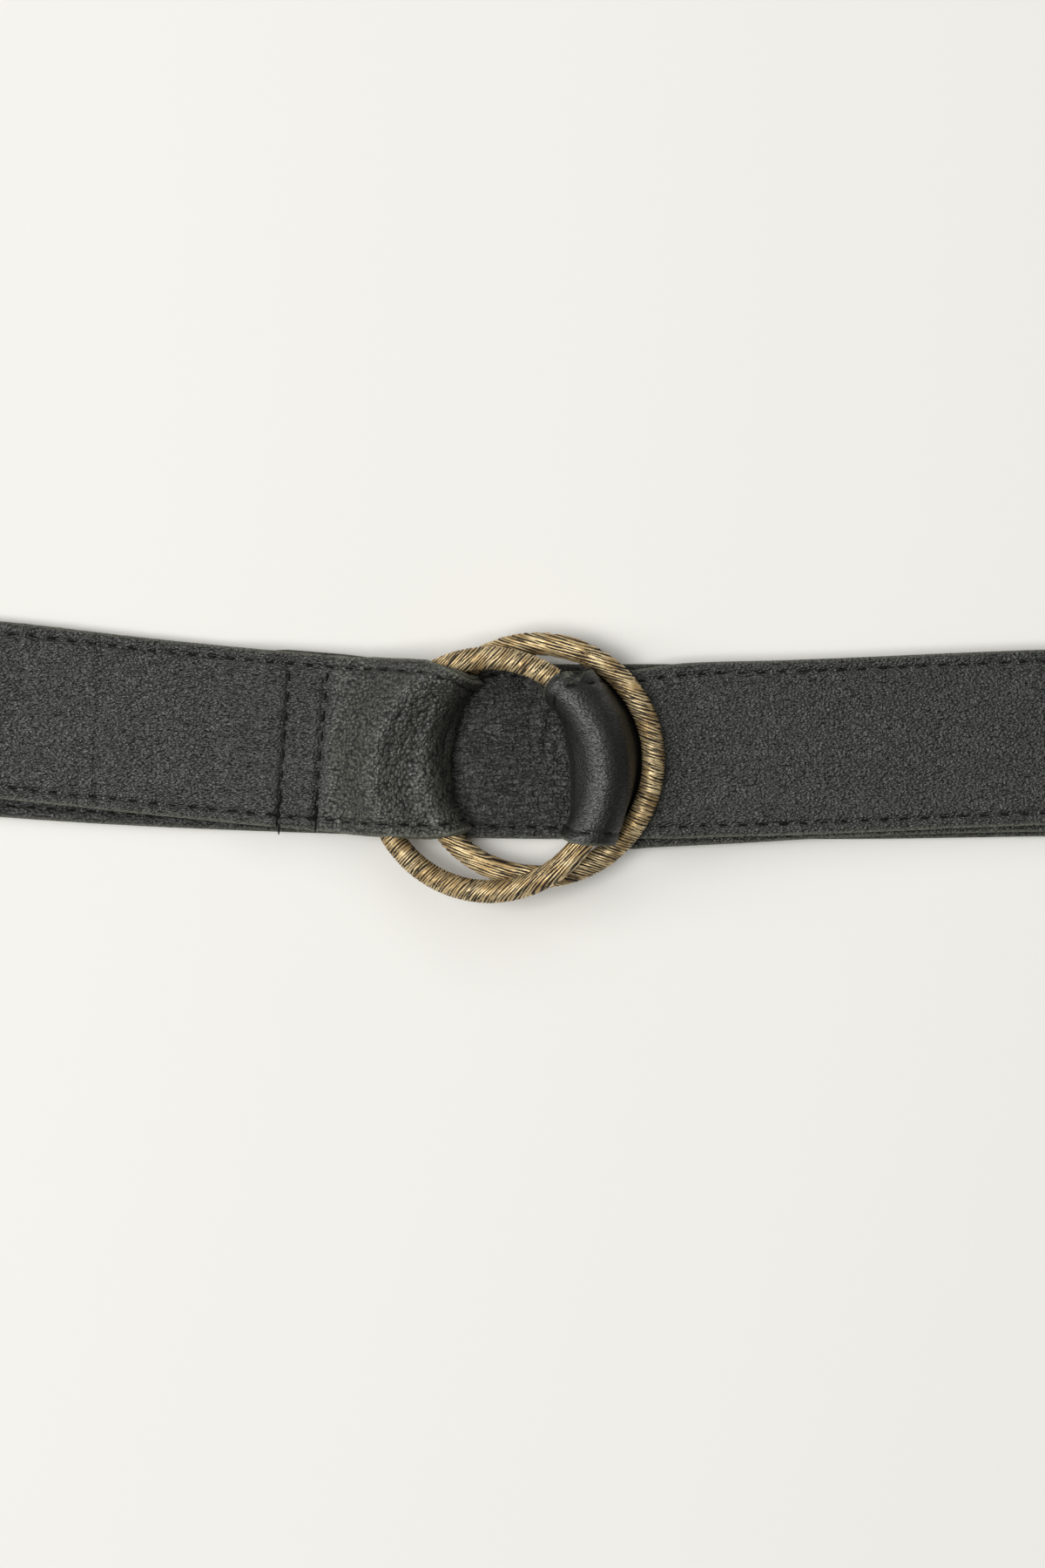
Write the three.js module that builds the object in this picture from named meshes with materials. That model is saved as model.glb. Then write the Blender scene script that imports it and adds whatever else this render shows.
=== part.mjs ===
// Double ring belt: one long two-layer leather strap, looped round two round rings at its
// left end, with its free end threaded through both rings. It lies flat on a floor.
// Millimetres. X runs along the strap, Y across it and Z up. All tables are measured from
// the middle of the front ring; the finished group is moved so that it rests on z = 0.
import * as THREE from "three";

// Leather
const STRAP_WIDTH = 38.2;
const FACE_THICK = 1.0;
const LINING_THICK = 1.0;
const SEAM_GAP = 0.2;
const REST_GAP = 0.3;

// Rings
const RING_RADIUS = 25.4;
const WIRE = 5.0;
const WIRE_GAP = 0.5;
const RING_GAP = 0.38;
const EDGE_ROOM = 0.3;
const BACK_RING_X = 10.6;
const BACK_RING_Y = 3.2;
const FRONT_RISE_X = 0.2;
const FRONT_RISE_Y = 0.02;

// Lengths along the belt
const LEFT_BEND_X = -190;
const RIGHT_BEND_X = 212;
const BEND_RADIUS = 4.5;
const BEND_LEAN = 0.07;
const TAIL_X = -47.5;
const TIP_X = 172;
const TIP_ROUND = 15;

// Fineness
const ACROSS = 8;
const RING_STEPS = 56;
const WIRE_STEPS = 12;

// Levels of the middle of a layer: on the floor, on one layer, on two layers
const THICK = FACE_THICK + SEAM_GAP + LINING_THICK;
const LEVEL_ONE = THICK / 2;
const LEVEL_TWO = LEVEL_ONE + THICK + REST_GAP;
const LEVEL_THREE = LEVEL_TWO + THICK + REST_GAP;
const HUG = WIRE / 2 + WIRE_GAP + THICK / 2;
const HALF = STRAP_WIDTH / 2;

// The looped end: middle line and share of the width, by x
const LOOP_COURSE = [
  { x: -190.0, middle: 19.6, share: 1.005 },
  { x: -150.0, middle: 17.8, share: 1.005 },
  { x: -106.6, middle: 14.15, share: 1.015 },
  { x: -76.2, middle: 10.8, share: 1.01 },
  { x: -45.8, middle: 7.8, share: 1.01 },
  { x: -23.0, middle: 5.95, share: 1.01 },
  { x: -13.3, middle: 5.4, share: 1.005 },
  { x: -7.8, middle: 4.9, share: 0.94 },
  { x: -3.5, middle: 4.5, share: 0.855 },
];

// The run on the floor, the run that lies on it and the free end
const FLOOR_COURSE = [
  { x: -190.0, middle: 18.8 },
  { x: -150.0, middle: 13.8 },
  { x: -106.6, middle: 9.9 },
  { x: -68.6, middle: 7.6 },
  { x: -5.0, middle: 5.4 },
  { x: 16.5, middle: 5.1 },
  { x: 80.5, middle: 5.1 },
  { x: 121.2, middle: 5.7 },
  { x: 212.0, middle: 6.5 },
];
const UNDER_COURSE = [
  { x: 14.0, middle: 3.6 },
  { x: 25.0, middle: 3.6 },
  { x: 31.3, middle: 2.9 },
  { x: 35.0, middle: 3.2 },
  { x: 55.0, middle: 4.2 },
  { x: 74.0, middle: 5.3 },
  { x: 112.0, middle: 6.6 },
  { x: 165.0, middle: 7.2 },
  { x: 212.0, middle: 7.3 },
];
const FREE_COURSE = [
  { x: 30.0, middle: 4.4 },
  { x: 45.4, middle: 5.4 },
  { x: 64.4, middle: 5.9 },
  { x: 83.4, middle: 6.65 },
  { x: 102.4, middle: 7.5 },
  { x: 121.2, middle: 8.2 },
  { x: 172.0, middle: 9.4 },
];

// Outer line of the fold round the back ring, and of the wrap round the front ring
const FOLD_LINE = [
  { y: -12.4, x: -5.2 },
  { y: -10.0, x: -6.4 },
  { y: -5.2, x: -7.6 },
  { y: -0.3, x: -8.1 },
  { y: 4.5, x: -8.0 },
  { y: 8.8, x: -7.4 },
  { y: 14.2, x: -5.9 },
  { y: 20.8, x: -2.5 },
];
const WRAP_LINE = [
  { y: -14.7, x: 16.1 },
  { y: -10.5, x: 17.3 },
  { y: -5.2, x: 17.6 },
  { y: -0.3, x: 17.4 },
  { y: 4.5, x: 17.1 },
  { y: 10.7, x: 15.9 },
  { y: 15.1, x: 14.4 },
  { y: 19.3, x: 12.3 },
];

// The wrap's middle line and width, from below it over the ring to the free end
const WRAP_COURSE = [
  { at: 0, middle: 3.6, share: 1.0 },
  { at: 1, middle: 1.7, share: 0.86 },
  { at: 2, middle: 3.5, share: 0.97 },
  { at: 3, middle: 4.3, share: 0.955 },
];

// Height of the looped end above LEVEL_ONE in layers, by x, and of its sewn-down tail
const LOOP_LAYERS = [
  { x: -190.0, layers: 3.6 },
  { x: -178.0, layers: 2.9 },
  { x: -164.0, layers: 1.5 },
  { x: -150.0, layers: 1.02 },
  { x: -62.0, layers: 1.0 },
  { x: -58.0, layers: 1.1 },
  { x: -52.0, layers: 1.72 },
  { x: -48.0, layers: 2.02 },
  { x: -42.0, layers: 2.12 },
  { x: -36.0, layers: 2.45 },
  { x: -30.0, layers: 2.75 },
];
const TAIL_LAYERS = [
  { x: -47.5, layers: 1.0 },
  { x: -42.0, layers: 1.06 },
  { x: -36.0, layers: 1.1 },
  { x: -28.0, layers: 1.14 },
  { x: -20.0, layers: 1.06 },
  { x: -14.0, layers: 1.0 },
  { x: -4.0, layers: 1.0 },
];
const UNDER_LAYERS = [
  { x: 14.0, layers: 1.0 },
  { x: 178.0, layers: 1.0 },
  { x: 188.0, layers: 1.45 },
  { x: 201.0, layers: 2.95 },
  { x: 212.0, layers: 3.6 },
];

// Slopes of the leather beside a ring's ridge
const RAMP_SLOPE = 0.55;
const VALLEY_SLOPE = 0.45;
const SLACK_FROM = 0.35;
const SLACK_SPARE = 1.04;
const RIDGE_BLEND = 1.2;

// A value of a table's column at one place, on a smooth line through the rows.
function lookUp(table, key, column, at) {
  const last = table.length - 1;
  if (at <= table[0][key]) return table[0][column];
  if (at >= table[last][key]) return table[last][column];
  let i = 0;
  while (table[i + 1][key] < at) i += 1;
  const slope = (k) => {
    const a = table[Math.max(k - 1, 0)];
    const b = table[Math.min(k + 1, last)];
    return (b[column] - a[column]) / (b[key] - a[key]);
  };
  const from = table[i];
  const to = table[i + 1];
  const length = to[key] - from[key];
  const chord = (to[column] - from[column]) / length;
  const most = 3 * Math.abs(chord);
  const calm = (s) => (s * chord <= 0 ? 0 : Math.sign(s) * Math.min(Math.abs(s), most));
  const t = (at - from[key]) / length;
  const start = calm(slope(i)) * length;
  const end = calm(slope(i + 1)) * length;
  const rise = to[column] - from[column];
  return (
    from[column] +
    start * t +
    (3 * rise - 2 * start - end) * t * t +
    (start + end - 2 * rise) * t * t * t
  );
}

// The larger of two heights, rounded where they meet.
function roundedMax(a, b, blend) {
  const share = Math.max(blend - Math.abs(a - b), 0) / blend;
  return Math.max(a, b) + (share * share * blend) / 4;
}

// Places and heights of the rings
function makeRings() {
  const left = LEVEL_TWO + HUG;
  const right = LEVEL_THREE + HUG;
  const reach = 1.62 * RING_RADIUS;
  const backRise = (right - left) / reach;
  const back = {
    name: "ring_back",
    x: BACK_RING_X,
    y: BACK_RING_Y,
    riseX: backRise,
    riseY: 0,
    z: left + RING_RADIUS * backRise,
  };
  const front = {
    name: "ring_front",
    x: 0,
    y: 0,
    riseX: FRONT_RISE_X,
    riseY: FRONT_RISE_Y,
    z: 0,
  };
  front.z = crossingHeight(front, back);
  return { front, back };
}

// The height that the front ring needs to pass over the back one at both crossings.
function crossingHeight(front, back) {
  const clear = WIRE + RING_GAP;
  let height = 0;
  for (const turn of steps(0, 2 * Math.PI, 360)) {
    const x = RING_RADIUS * Math.cos(turn);
    const y = RING_RADIUS * Math.sin(turn);
    const away = Math.hypot(x - back.x, y - back.y);
    const off = away - RING_RADIUS;
    if (Math.abs(off) < clear) {
      const nearX = back.x + ((x - back.x) * RING_RADIUS) / away;
      const nearY = back.y + ((y - back.y) * RING_RADIUS) / away;
      const rise = Math.sqrt(clear * clear - off * off);
      height = Math.max(height, wireHeight(back, nearX, nearY) + rise - wireHeight(front, x, y));
    }
  }
  return height;
}

// Height of the middle of a ring's wire at a place.
function wireHeight(ring, x, y) {
  return ring.z + ring.riseX * (x - ring.x) + ring.riseY * (y - ring.y);
}

// X of the middle of a ring's wire at one y, on its left (-1) or right (+1) side.
function wireX(ring, y, side) {
  const off = y - ring.y;
  const least = 0.14 * RING_RADIUS * RING_RADIUS;
  return ring.x + side * Math.sqrt(Math.max(RING_RADIUS ** 2 - off ** 2, least));
}

// X of a ring's inner edge at one y.
function innerX(ring, y, side) {
  const inner = RING_RADIUS - WIRE / 2;
  const off = y - ring.y;
  return ring.x + side * Math.sqrt(Math.max(inner ** 2 - off ** 2, 0.02 * inner ** 2));
}

// How much longer the wire's section is along X than across the wire.
function stretch(ring, y) {
  const off = (y - ring.y) / RING_RADIUS;
  return 1 / Math.sqrt(Math.max(1 - off * off, 0.16));
}

const { front: FRONT, back: BACK } = makeRings();

// Height of leather laid over a ring's wire, falling away beside it.
function ridge(ring, x, y, outSlope, inSlope) {
  const away = Math.hypot(x - ring.x, y - ring.y) - RING_RADIUS;
  const slope = away > 0 ? outSlope : inSlope;
  const turn = (HUG * slope) / Math.hypot(1, slope);
  const far = Math.abs(away);
  const top = wireHeight(ring, x, y);
  if (far < turn) return top + Math.sqrt(HUG * HUG - far * far);
  return top + HUG * Math.hypot(1, slope) - far * slope;
}

// Layer level from a table of layers.
function levelAt(table, x) {
  return LEVEL_ONE + lookUp(table, "x", "layers", x) * (THICK + REST_GAP);
}

// Height of the looped end where it runs over the rings and on to the left.
function loopHeight(x, y) {
  const base = levelAt(LOOP_LAYERS, x);
  if (x < -55) return base;
  const overBack = ridge(BACK, x, y, 0.2, 0.2);
  const overFront = ridge(FRONT, x, y, RAMP_SLOPE, VALLEY_SLOPE);
  const backFades = x < -24 ? overBack - (-24 - x) * 0.6 : overBack;
  return roundedMax(base, roundedMax(backFades, overFront, RIDGE_BLEND), RIDGE_BLEND);
}

// Y of the looped end at a place along it; across runs from -1 to 1.
function loopY(x, across) {
  const half = HALF * lookUp(LOOP_COURSE, "x", "share", x);
  return lookUp(LOOP_COURSE, "x", "middle", x) + across * half;
}

// Y of a run of constant width.
function runY(course, x, across) {
  return lookUp(course, "x", "middle", x) + across * HALF * 1.003;
}

// Evenly spaced steps from a to b, without a itself.
function steps(a, b, count) {
  return Array.from({ length: count }, (_, i) => a + ((b - a) * (i + 1)) / count);
}

// X of the fold at one turn, from -90 degrees below the wire to +90 degrees above it.
// How far leather stands beside a wire: it hugs the upper half and hangs slack below.
function reachBeside(tight, slack, turn) {
  const share = Math.min(1, Math.max(0, (SLACK_FROM - Math.sin(turn)) / (2 * SLACK_FROM)));
  const eased = share * share * (3 - 2 * share);
  const side = Math.max(0, Math.cos(turn) * Math.sign(Math.cos(turn) || 1));
  const full = Math.sin(turn) < 0 ? Math.sqrt(side) : side;
  return (tight + (slack * SLACK_SPARE - tight) * eased) * full;
}

function foldX(across, turn) {
  let x = -5;
  for (let pass = 0; pass < 8; pass += 1) {
    const y = loopY(x, across);
    const middle = wireX(BACK, y, -1);
    const least = innerX(BACK, y, -1) + (THICK + WIRE_GAP) * stretch(BACK, y);
    const outer = Math.max(lookUp(FOLD_LINE, "y", "x", y), least);
    const tight = HUG * stretch(BACK, y);
    x = (x + middle + reachBeside(tight, outer - THICK / 2 - middle, turn)) / 2;
  }
  return x;
}

// The sewn-down tail: from its cut end to below the back ring's left side.
function addTail(line, across) {
  const end = foldX(across, -Math.PI / 2);
  for (const x of [TAIL_X, ...steps(TAIL_X, end, 7)]) {
    line.push({ x, y: loopY(x, across), z: levelAt(TAIL_LAYERS, x) });
  }
}

// The fold round the back ring: from below its left side, out to the right and back above it.
function addFold(line, across) {
  for (const turn of steps(-Math.PI / 2, Math.PI / 2, 10)) {
    const x = foldX(across, turn);
    const y = loopY(x, across);
    const level = wireHeight(BACK, x, y);
    const up = turn > 0 ? loopHeight(x, y) - level : level - levelAt(TAIL_LAYERS, x);
    line.push({ x, y, z: level + up * Math.sin(turn) });
  }
}

// The looped end: over the back ring, the front ring and down to the stitching.
function addRidges(line, across) {
  const overBack = line[line.length - 1].x;
  const overFront = wireX(FRONT, loopY(-20, across), -1);
  const places = [
    ...steps(overBack, overFront, 7),
    ...steps(overFront, -37, 8),
    ...steps(-37, -58, 6),
  ];
  for (const x of places) {
    const y = loopY(x, across);
    line.push({ x, y, z: loopHeight(x, y) });
  }
}

// On to the left, up to the left bend.
function addLeftRun(line, across) {
  for (const x of [...steps(-58, -150, 4), ...steps(-150, LEFT_BEND_X, 5)]) {
    const lean = ((x + 58) / (LEFT_BEND_X + 58)) * across * HALF * BEND_LEAN;
    line.push({ x: x + lean, y: loopY(x, across), z: levelAt(LOOP_LAYERS, x) });
  }
}

// An open bend at one end of the flattened belt.
function addBend(line, across, x, side, fromY, toY, fromZ, toZ) {
  const lean = side < 0 ? across * HALF * BEND_LEAN : 0;
  const count = 8;
  for (let i = 1; i <= count; i += 1) {
    const turn = (i / (count + 1)) * Math.PI;
    const share = i / (count + 1);
    const middle = (fromZ + toZ) / 2;
    line.push({
      x: x + lean + side * BEND_RADIUS * Math.sin(turn) * 1.05,
      y: fromY + (toY - fromY) * share,
      z: middle + (fromZ - middle) * Math.cos(turn),
    });
  }
}

// The run on the floor, from the left bend to the right one.
function addFloorRun(line, across) {
  const places = [LEFT_BEND_X, ...steps(LEFT_BEND_X, RIGHT_BEND_X, 10)];
  for (const x of places) {
    const share = Math.max(0, (-100 - x) / (-100 - LEFT_BEND_X));
    const lean = share * across * HALF * BEND_LEAN;
    line.push({ x: x + lean, y: runY(FLOOR_COURSE, x, across), z: LEVEL_ONE });
  }
}

// Back from the right bend, on the floor run and below both rings.
function addUnderRun(line, across) {
  const end = wireX(FRONT, runY(UNDER_COURSE, 20, across), 1) + 1.5;
  const places = [
    RIGHT_BEND_X,
    ...steps(RIGHT_BEND_X, 176, 6),
    ...steps(176, 48, 4),
    ...steps(48, end, 5),
  ];
  for (const x of places) {
    line.push({ x, y: runY(UNDER_COURSE, x, across), z: levelAt(UNDER_LAYERS, x) });
  }
}

// Y of the wrap at a stage: 0 below the ring, 1 leftmost, 2 on top, 3 below the back ring.
function wrapY(stage, across) {
  const half = HALF * lookUp(WRAP_COURSE, "at", "share", stage);
  return lookUp(WRAP_COURSE, "at", "middle", stage) + across * half;
}

// The wrap: up through both rings, over the front one.
function addWrap(line, across) {
  for (const share of steps(0, 1, 12)) {
    const turn = Math.PI * (1.5 - share);
    const y = wrapY(2 * share, across);
    const middle = wireX(FRONT, y, 1);
    const most = innerX(FRONT, y, 1) - (THICK + WIRE_GAP) * stretch(FRONT, y);
    const outer = Math.min(lookUp(WRAP_LINE, "y", "x", y), most);
    const level = wireHeight(FRONT, middle, y);
    const high = turn < Math.PI ? HUG : level - LEVEL_TWO;
    const tight = HUG * stretch(FRONT, y);
    line.push({
      x: middle - reachBeside(tight, middle - outer - THICK / 2, turn),
      y,
      z: level + high * Math.sin(turn),
    });
  }
}

// Down between the rings: round the front one's wire, straight on, and below the back one's.
function addDrop(line, across) {
  const place = (stage, ring, angle) => {
    const y = wrapY(stage, across);
    const middle = wireX(ring, y, 1);
    return {
      x: middle + (HUG + EDGE_ROOM) * Math.cos(angle) * stretch(ring, y),
      y,
      z: wireHeight(ring, middle, y) + HUG * Math.sin(angle),
    };
  };
  const y = wrapY(2.5, across);
  const squeeze = 2 / (stretch(FRONT, y) + stretch(BACK, y));
  const dx = (wireX(BACK, y, 1) - wireX(FRONT, y, 1)) * squeeze;
  const dz =
    wireHeight(BACK, wireX(BACK, y, 1), y) - wireHeight(FRONT, wireX(FRONT, y, 1), y);
  const lean = Math.asin(Math.min(0.97, (2 * HUG) / Math.hypot(dx, dz)));
  const heading = Math.atan2(dz, dx) - lean;
  for (const share of steps(0, 1, 6)) {
    const angle = Math.PI / 2 + heading * share;
    line.push(place(2 + 0.4 * share, FRONT, angle));
  }
  const from = line[line.length - 1];
  const first = place(2.6, BACK, heading + 1.5 * Math.PI);
  for (const share of [0.33, 0.67]) {
    line.push({
      x: from.x + (first.x - from.x) * share,
      y: from.y + (first.y - from.y) * share,
      z: from.z + (first.z - from.z) * share,
    });
  }
  line.push(first);
  for (const share of steps(0, 1, 5)) {
    const angle = 1.5 * Math.PI + heading * (1 - share);
    line.push(place(2.6 + 0.4 * share, BACK, angle));
  }
}

// The free end, out to its rounded tip.
function addFreeEnd(line, across) {
  const from = line[line.length - 1];
  const round = TIP_ROUND * (1 - Math.sqrt(1 - (0.97 * across) ** 2));
  const places = [
    ...steps(from.x, 44, 3),
    ...steps(44, TIP_X - TIP_ROUND - 3, 5),
    ...steps(TIP_X - TIP_ROUND - 3, TIP_X - round, 3),
  ];
  for (const x of places) {
    const settle = Math.min(1, Math.max(0, (44 - x) / (44 - from.x)));
    const ease = settle * settle * (3 - 2 * settle);
    const y = runY(FREE_COURSE, x, across);
    line.push({
      x,
      y: y + (from.y - runY(FREE_COURSE, from.x, across)) * ease,
      z: LEVEL_THREE + (from.z - LEVEL_THREE) * ease,
    });
  }
}

// One line along the whole strap, at one place across it.
function strapLine(across) {
  const line = [];
  addTail(line, across);
  addFold(line, across);
  addRidges(line, across);
  addLeftRun(line, across);
  const leftTop = line[line.length - 1];
  const leftFloorY = runY(FLOOR_COURSE, LEFT_BEND_X, across);
  addBend(line, across, LEFT_BEND_X, -1, leftTop.y, leftFloorY, leftTop.z, LEVEL_ONE);
  addFloorRun(line, across);
  const rightFloorY = runY(FLOOR_COURSE, RIGHT_BEND_X, across);
  const rightTopY = runY(UNDER_COURSE, RIGHT_BEND_X, across);
  const rightTopZ = levelAt(UNDER_LAYERS, RIGHT_BEND_X);
  addBend(line, across, RIGHT_BEND_X, 1, rightFloorY, rightTopY, LEVEL_ONE, rightTopZ);
  addUnderRun(line, across);
  addWrap(line, across);
  addDrop(line, across);
  addFreeEnd(line, across);
  return line.map((p) => new THREE.Vector3(p.x, p.y, p.z));
}

// Lines along the strap, with the outward direction of its face at each point.
function strapGrid() {
  const lines = [];
  for (let j = 0; j <= ACROSS; j += 1) lines.push(strapLine((2 * j) / ACROSS - 1));
  const count = lines[0].length;
  const outward = lines.map((line, j) =>
    line.map((_, i) => {
      const a = line[Math.max(i - 1, 0)];
      const b = line[Math.min(i + 1, count - 1)];
      const c = lines[Math.max(j - 1, 0)][i];
      const d = lines[Math.min(j + 1, ACROSS)][i];
      const along = b.clone().sub(a);
      return d.clone().sub(c).cross(along).normalize();
    }),
  );
  return { lines, outward, count };
}

// One leather layer between two distances from the strap's middle surface.
function layerGeometry(grid, low, high) {
  const { lines, outward, count } = grid;
  const position = [];
  const width = ACROSS + 1;
  for (const away of [low, high]) {
    for (let i = 0; i < count; i += 1) {
      for (let j = 0; j < width; j += 1) {
        const p = lines[j][i].clone().addScaledVector(outward[j][i], away);
        position.push(p.x, p.y, p.z);
      }
    }
  }
  const at = (side, i, j) => side * count * width + i * width + j;
  const index = [];
  const quad = (a, b, c, d) => index.push(a, b, c, a, c, d);
  for (let i = 0; i + 1 < count; i += 1) {
    for (let j = 0; j < ACROSS; j += 1) {
      quad(at(1, i, j), at(1, i, j + 1), at(1, i + 1, j + 1), at(1, i + 1, j));
      quad(at(0, i, j), at(0, i + 1, j), at(0, i + 1, j + 1), at(0, i, j + 1));
    }
    quad(at(0, i, 0), at(1, i, 0), at(1, i + 1, 0), at(0, i + 1, 0));
    quad(at(0, i, ACROSS), at(0, i + 1, ACROSS), at(1, i + 1, ACROSS), at(1, i, ACROSS));
  }
  const end = count - 1;
  for (let j = 0; j < ACROSS; j += 1) {
    quad(at(0, 0, j), at(0, 0, j + 1), at(1, 0, j + 1), at(1, 0, j));
    quad(at(0, end, j), at(1, end, j), at(1, end, j + 1), at(0, end, j + 1));
  }
  const geometry = new THREE.BufferGeometry();
  geometry.setAttribute("position", new THREE.Float32BufferAttribute(position, 3));
  geometry.setIndex(index);
  geometry.computeVertexNormals();
  return geometry;
}

// A round ring of round wire, tilted as it lies.
function ringGeometry(ring) {
  const geometry = new THREE.TorusGeometry(RING_RADIUS, WIRE / 2, WIRE_STEPS, RING_STEPS);
  const up = new THREE.Vector3(-ring.riseX, -ring.riseY, 1).normalize();
  const turn = new THREE.Quaternion().setFromUnitVectors(new THREE.Vector3(0, 0, 1), up);
  geometry.applyQuaternion(turn);
  geometry.translate(ring.x, ring.y, ring.z);
  return geometry;
}

// Materials
const charcoalLeather = new THREE.MeshStandardMaterial({
  color: 0x33332f,
  roughness: 0.62,
  metalness: 0,
});
const liningLeather = new THREE.MeshStandardMaterial({
  color: 0x393935,
  roughness: 0.68,
  metalness: 0,
});
const antiqueBrass = new THREE.MeshStandardMaterial({
  color: 0x9a7b45,
  roughness: 0.38,
  metalness: 1,
});

// Assembly
const belt = new THREE.Group();
belt.name = "double_ring_belt";

function addPart(name, geometry, material) {
  const mesh = new THREE.Mesh(geometry, material);
  mesh.name = name;
  belt.add(mesh);
}

const grid = strapGrid();
addPart("strap_face", layerGeometry(grid, SEAM_GAP / 2, THICK / 2), charcoalLeather);
addPart("strap_lining", layerGeometry(grid, -THICK / 2, -SEAM_GAP / 2), liningLeather);
addPart(FRONT.name, ringGeometry(FRONT), antiqueBrass);
addPart(BACK.name, ringGeometry(BACK), antiqueBrass);

const box = new THREE.Box3().setFromObject(belt);
const middle = box.getCenter(new THREE.Vector3());
for (const mesh of belt.children) mesh.geometry.translate(-middle.x, -middle.y, -box.min.z);

export default belt;
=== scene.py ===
"""A double ring belt, dressed for its portrait.

The belt lies flat: one strap of two leather layers, its left end folded round two round
rings and sewn down, its free end threaded up through both rings and back between them.
The leather layers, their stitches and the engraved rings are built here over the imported
solids. Lengths inside the classes are millimetres measured from the middle of the front
ring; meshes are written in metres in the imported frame.
"""

import logging
import math
from dataclasses import dataclass, field
from enum import Enum

import bpy
import numpy as np
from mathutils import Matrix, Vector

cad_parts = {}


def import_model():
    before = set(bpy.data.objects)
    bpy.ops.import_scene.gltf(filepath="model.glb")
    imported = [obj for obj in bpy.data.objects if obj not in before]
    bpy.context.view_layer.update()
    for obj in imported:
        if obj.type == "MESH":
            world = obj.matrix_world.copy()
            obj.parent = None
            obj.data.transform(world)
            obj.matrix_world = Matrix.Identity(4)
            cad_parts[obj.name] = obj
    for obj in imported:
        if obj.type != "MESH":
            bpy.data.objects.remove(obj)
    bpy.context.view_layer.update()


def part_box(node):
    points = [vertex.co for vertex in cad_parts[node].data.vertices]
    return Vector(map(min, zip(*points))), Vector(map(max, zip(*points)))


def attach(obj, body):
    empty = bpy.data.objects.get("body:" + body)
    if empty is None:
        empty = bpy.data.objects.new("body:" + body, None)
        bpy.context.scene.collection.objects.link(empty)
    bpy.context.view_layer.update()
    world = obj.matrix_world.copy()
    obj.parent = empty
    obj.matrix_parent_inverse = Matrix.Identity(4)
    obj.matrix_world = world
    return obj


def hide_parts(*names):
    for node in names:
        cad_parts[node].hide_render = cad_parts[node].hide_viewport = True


LOG = logging.getLogger("double_ring_belt")
MM = 0.001
LEATHER_CLEAR_MM = 0.03
THREAD_CLEAR_MM = 0.01
CROSS_PITCH_MM = 4.3
Row = tuple[float, ...]
Tone = tuple[float, float, float, float]
Section = tuple[np.ndarray, np.ndarray, np.ndarray]
Socket = bpy.types.NodeSocket


# Small numeric helpers


def smooth(low: float, high: float, value: np.ndarray) -> np.ndarray:
    """A soft step from 0 at low to 1 at high.

    Args:
        low: Where the step starts.
        high: Where the step ends; it may be below low.
        value: Numbers to judge.

    Returns:
        The share of the step reached, from 0 to 1.
    """
    share = np.clip((value - low) / (high - low), 0.0, 1.0)
    return share * share * (3.0 - 2.0 * share)


def bump(value: np.ndarray, width: float) -> np.ndarray:
    """A bell of height 1 round zero.

    Args:
        value: Distances from the middle of the bell.
        width: Distance at which the bell has fallen to about a third.

    Returns:
        The height of the bell at each distance.
    """
    return np.exp(-((value / width) ** 2))


def steps(start: np.ndarray | float, end: np.ndarray | float, count: int) -> np.ndarray:
    """Evenly spaced steps after a start, up to an end.

    Args:
        start: Where the steps leave from; it isn't among them.
        end: The last step.
        count: How many steps.

    Returns:
        An array whose first axis is the steps.
    """
    share = np.arange(1, count + 1) / count
    start = np.asarray(start, dtype=float)
    end = np.asarray(end, dtype=float)
    return start + np.multiply.outer(share, end - start)


@dataclass(frozen=True)
class Marble:
    """Smooth seeded noise in space, the same on every run."""

    seed: int

    def at(self, x: np.ndarray, y: np.ndarray, z: np.ndarray | float = 0.0) -> np.ndarray:
        """Noise of about unit grain size.

        Args:
            x: First coordinate.
            y: Second coordinate.
            z: Third coordinate.

        Returns:
            Values from about -1 to 1.
        """
        x, y, z = np.broadcast_arrays(x, y, z)
        table = np.random.default_rng(self.seed).permutation(256)
        table = np.concatenate([table, table, table])
        cell = [np.floor(c).astype(int) for c in (x, y, z)]
        part = [c - f for c, f in zip((x, y, z), cell)]
        fade = [p * p * p * (p * (p * 6 - 15) + 10) for p in part]
        low = [c & 255 for c in cell]
        total = np.zeros(x.shape)
        for corner in range(8):
            i, j, k = corner & 1, (corner >> 1) & 1, corner >> 2
            mark = table[table[table[low[0] + i] + low[1] + j] + low[2] + k]
            angle = mark * (math.tau / 256)
            tilt = ((mark * 37) % 256) / 128.0 - 1.0
            flat = np.sqrt(1.0 - tilt * tilt * 0.98)
            slope = (
                np.cos(angle) * flat * (part[0] - i)
                + np.sin(angle) * flat * (part[1] - j)
                + tilt * (part[2] - k)
            )
            weight = 1.0
            for bit, f in zip((i, j, k), fade):
                weight = weight * (f if bit else 1.0 - f)
            total += weight * slope
        return total * 1.6


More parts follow.
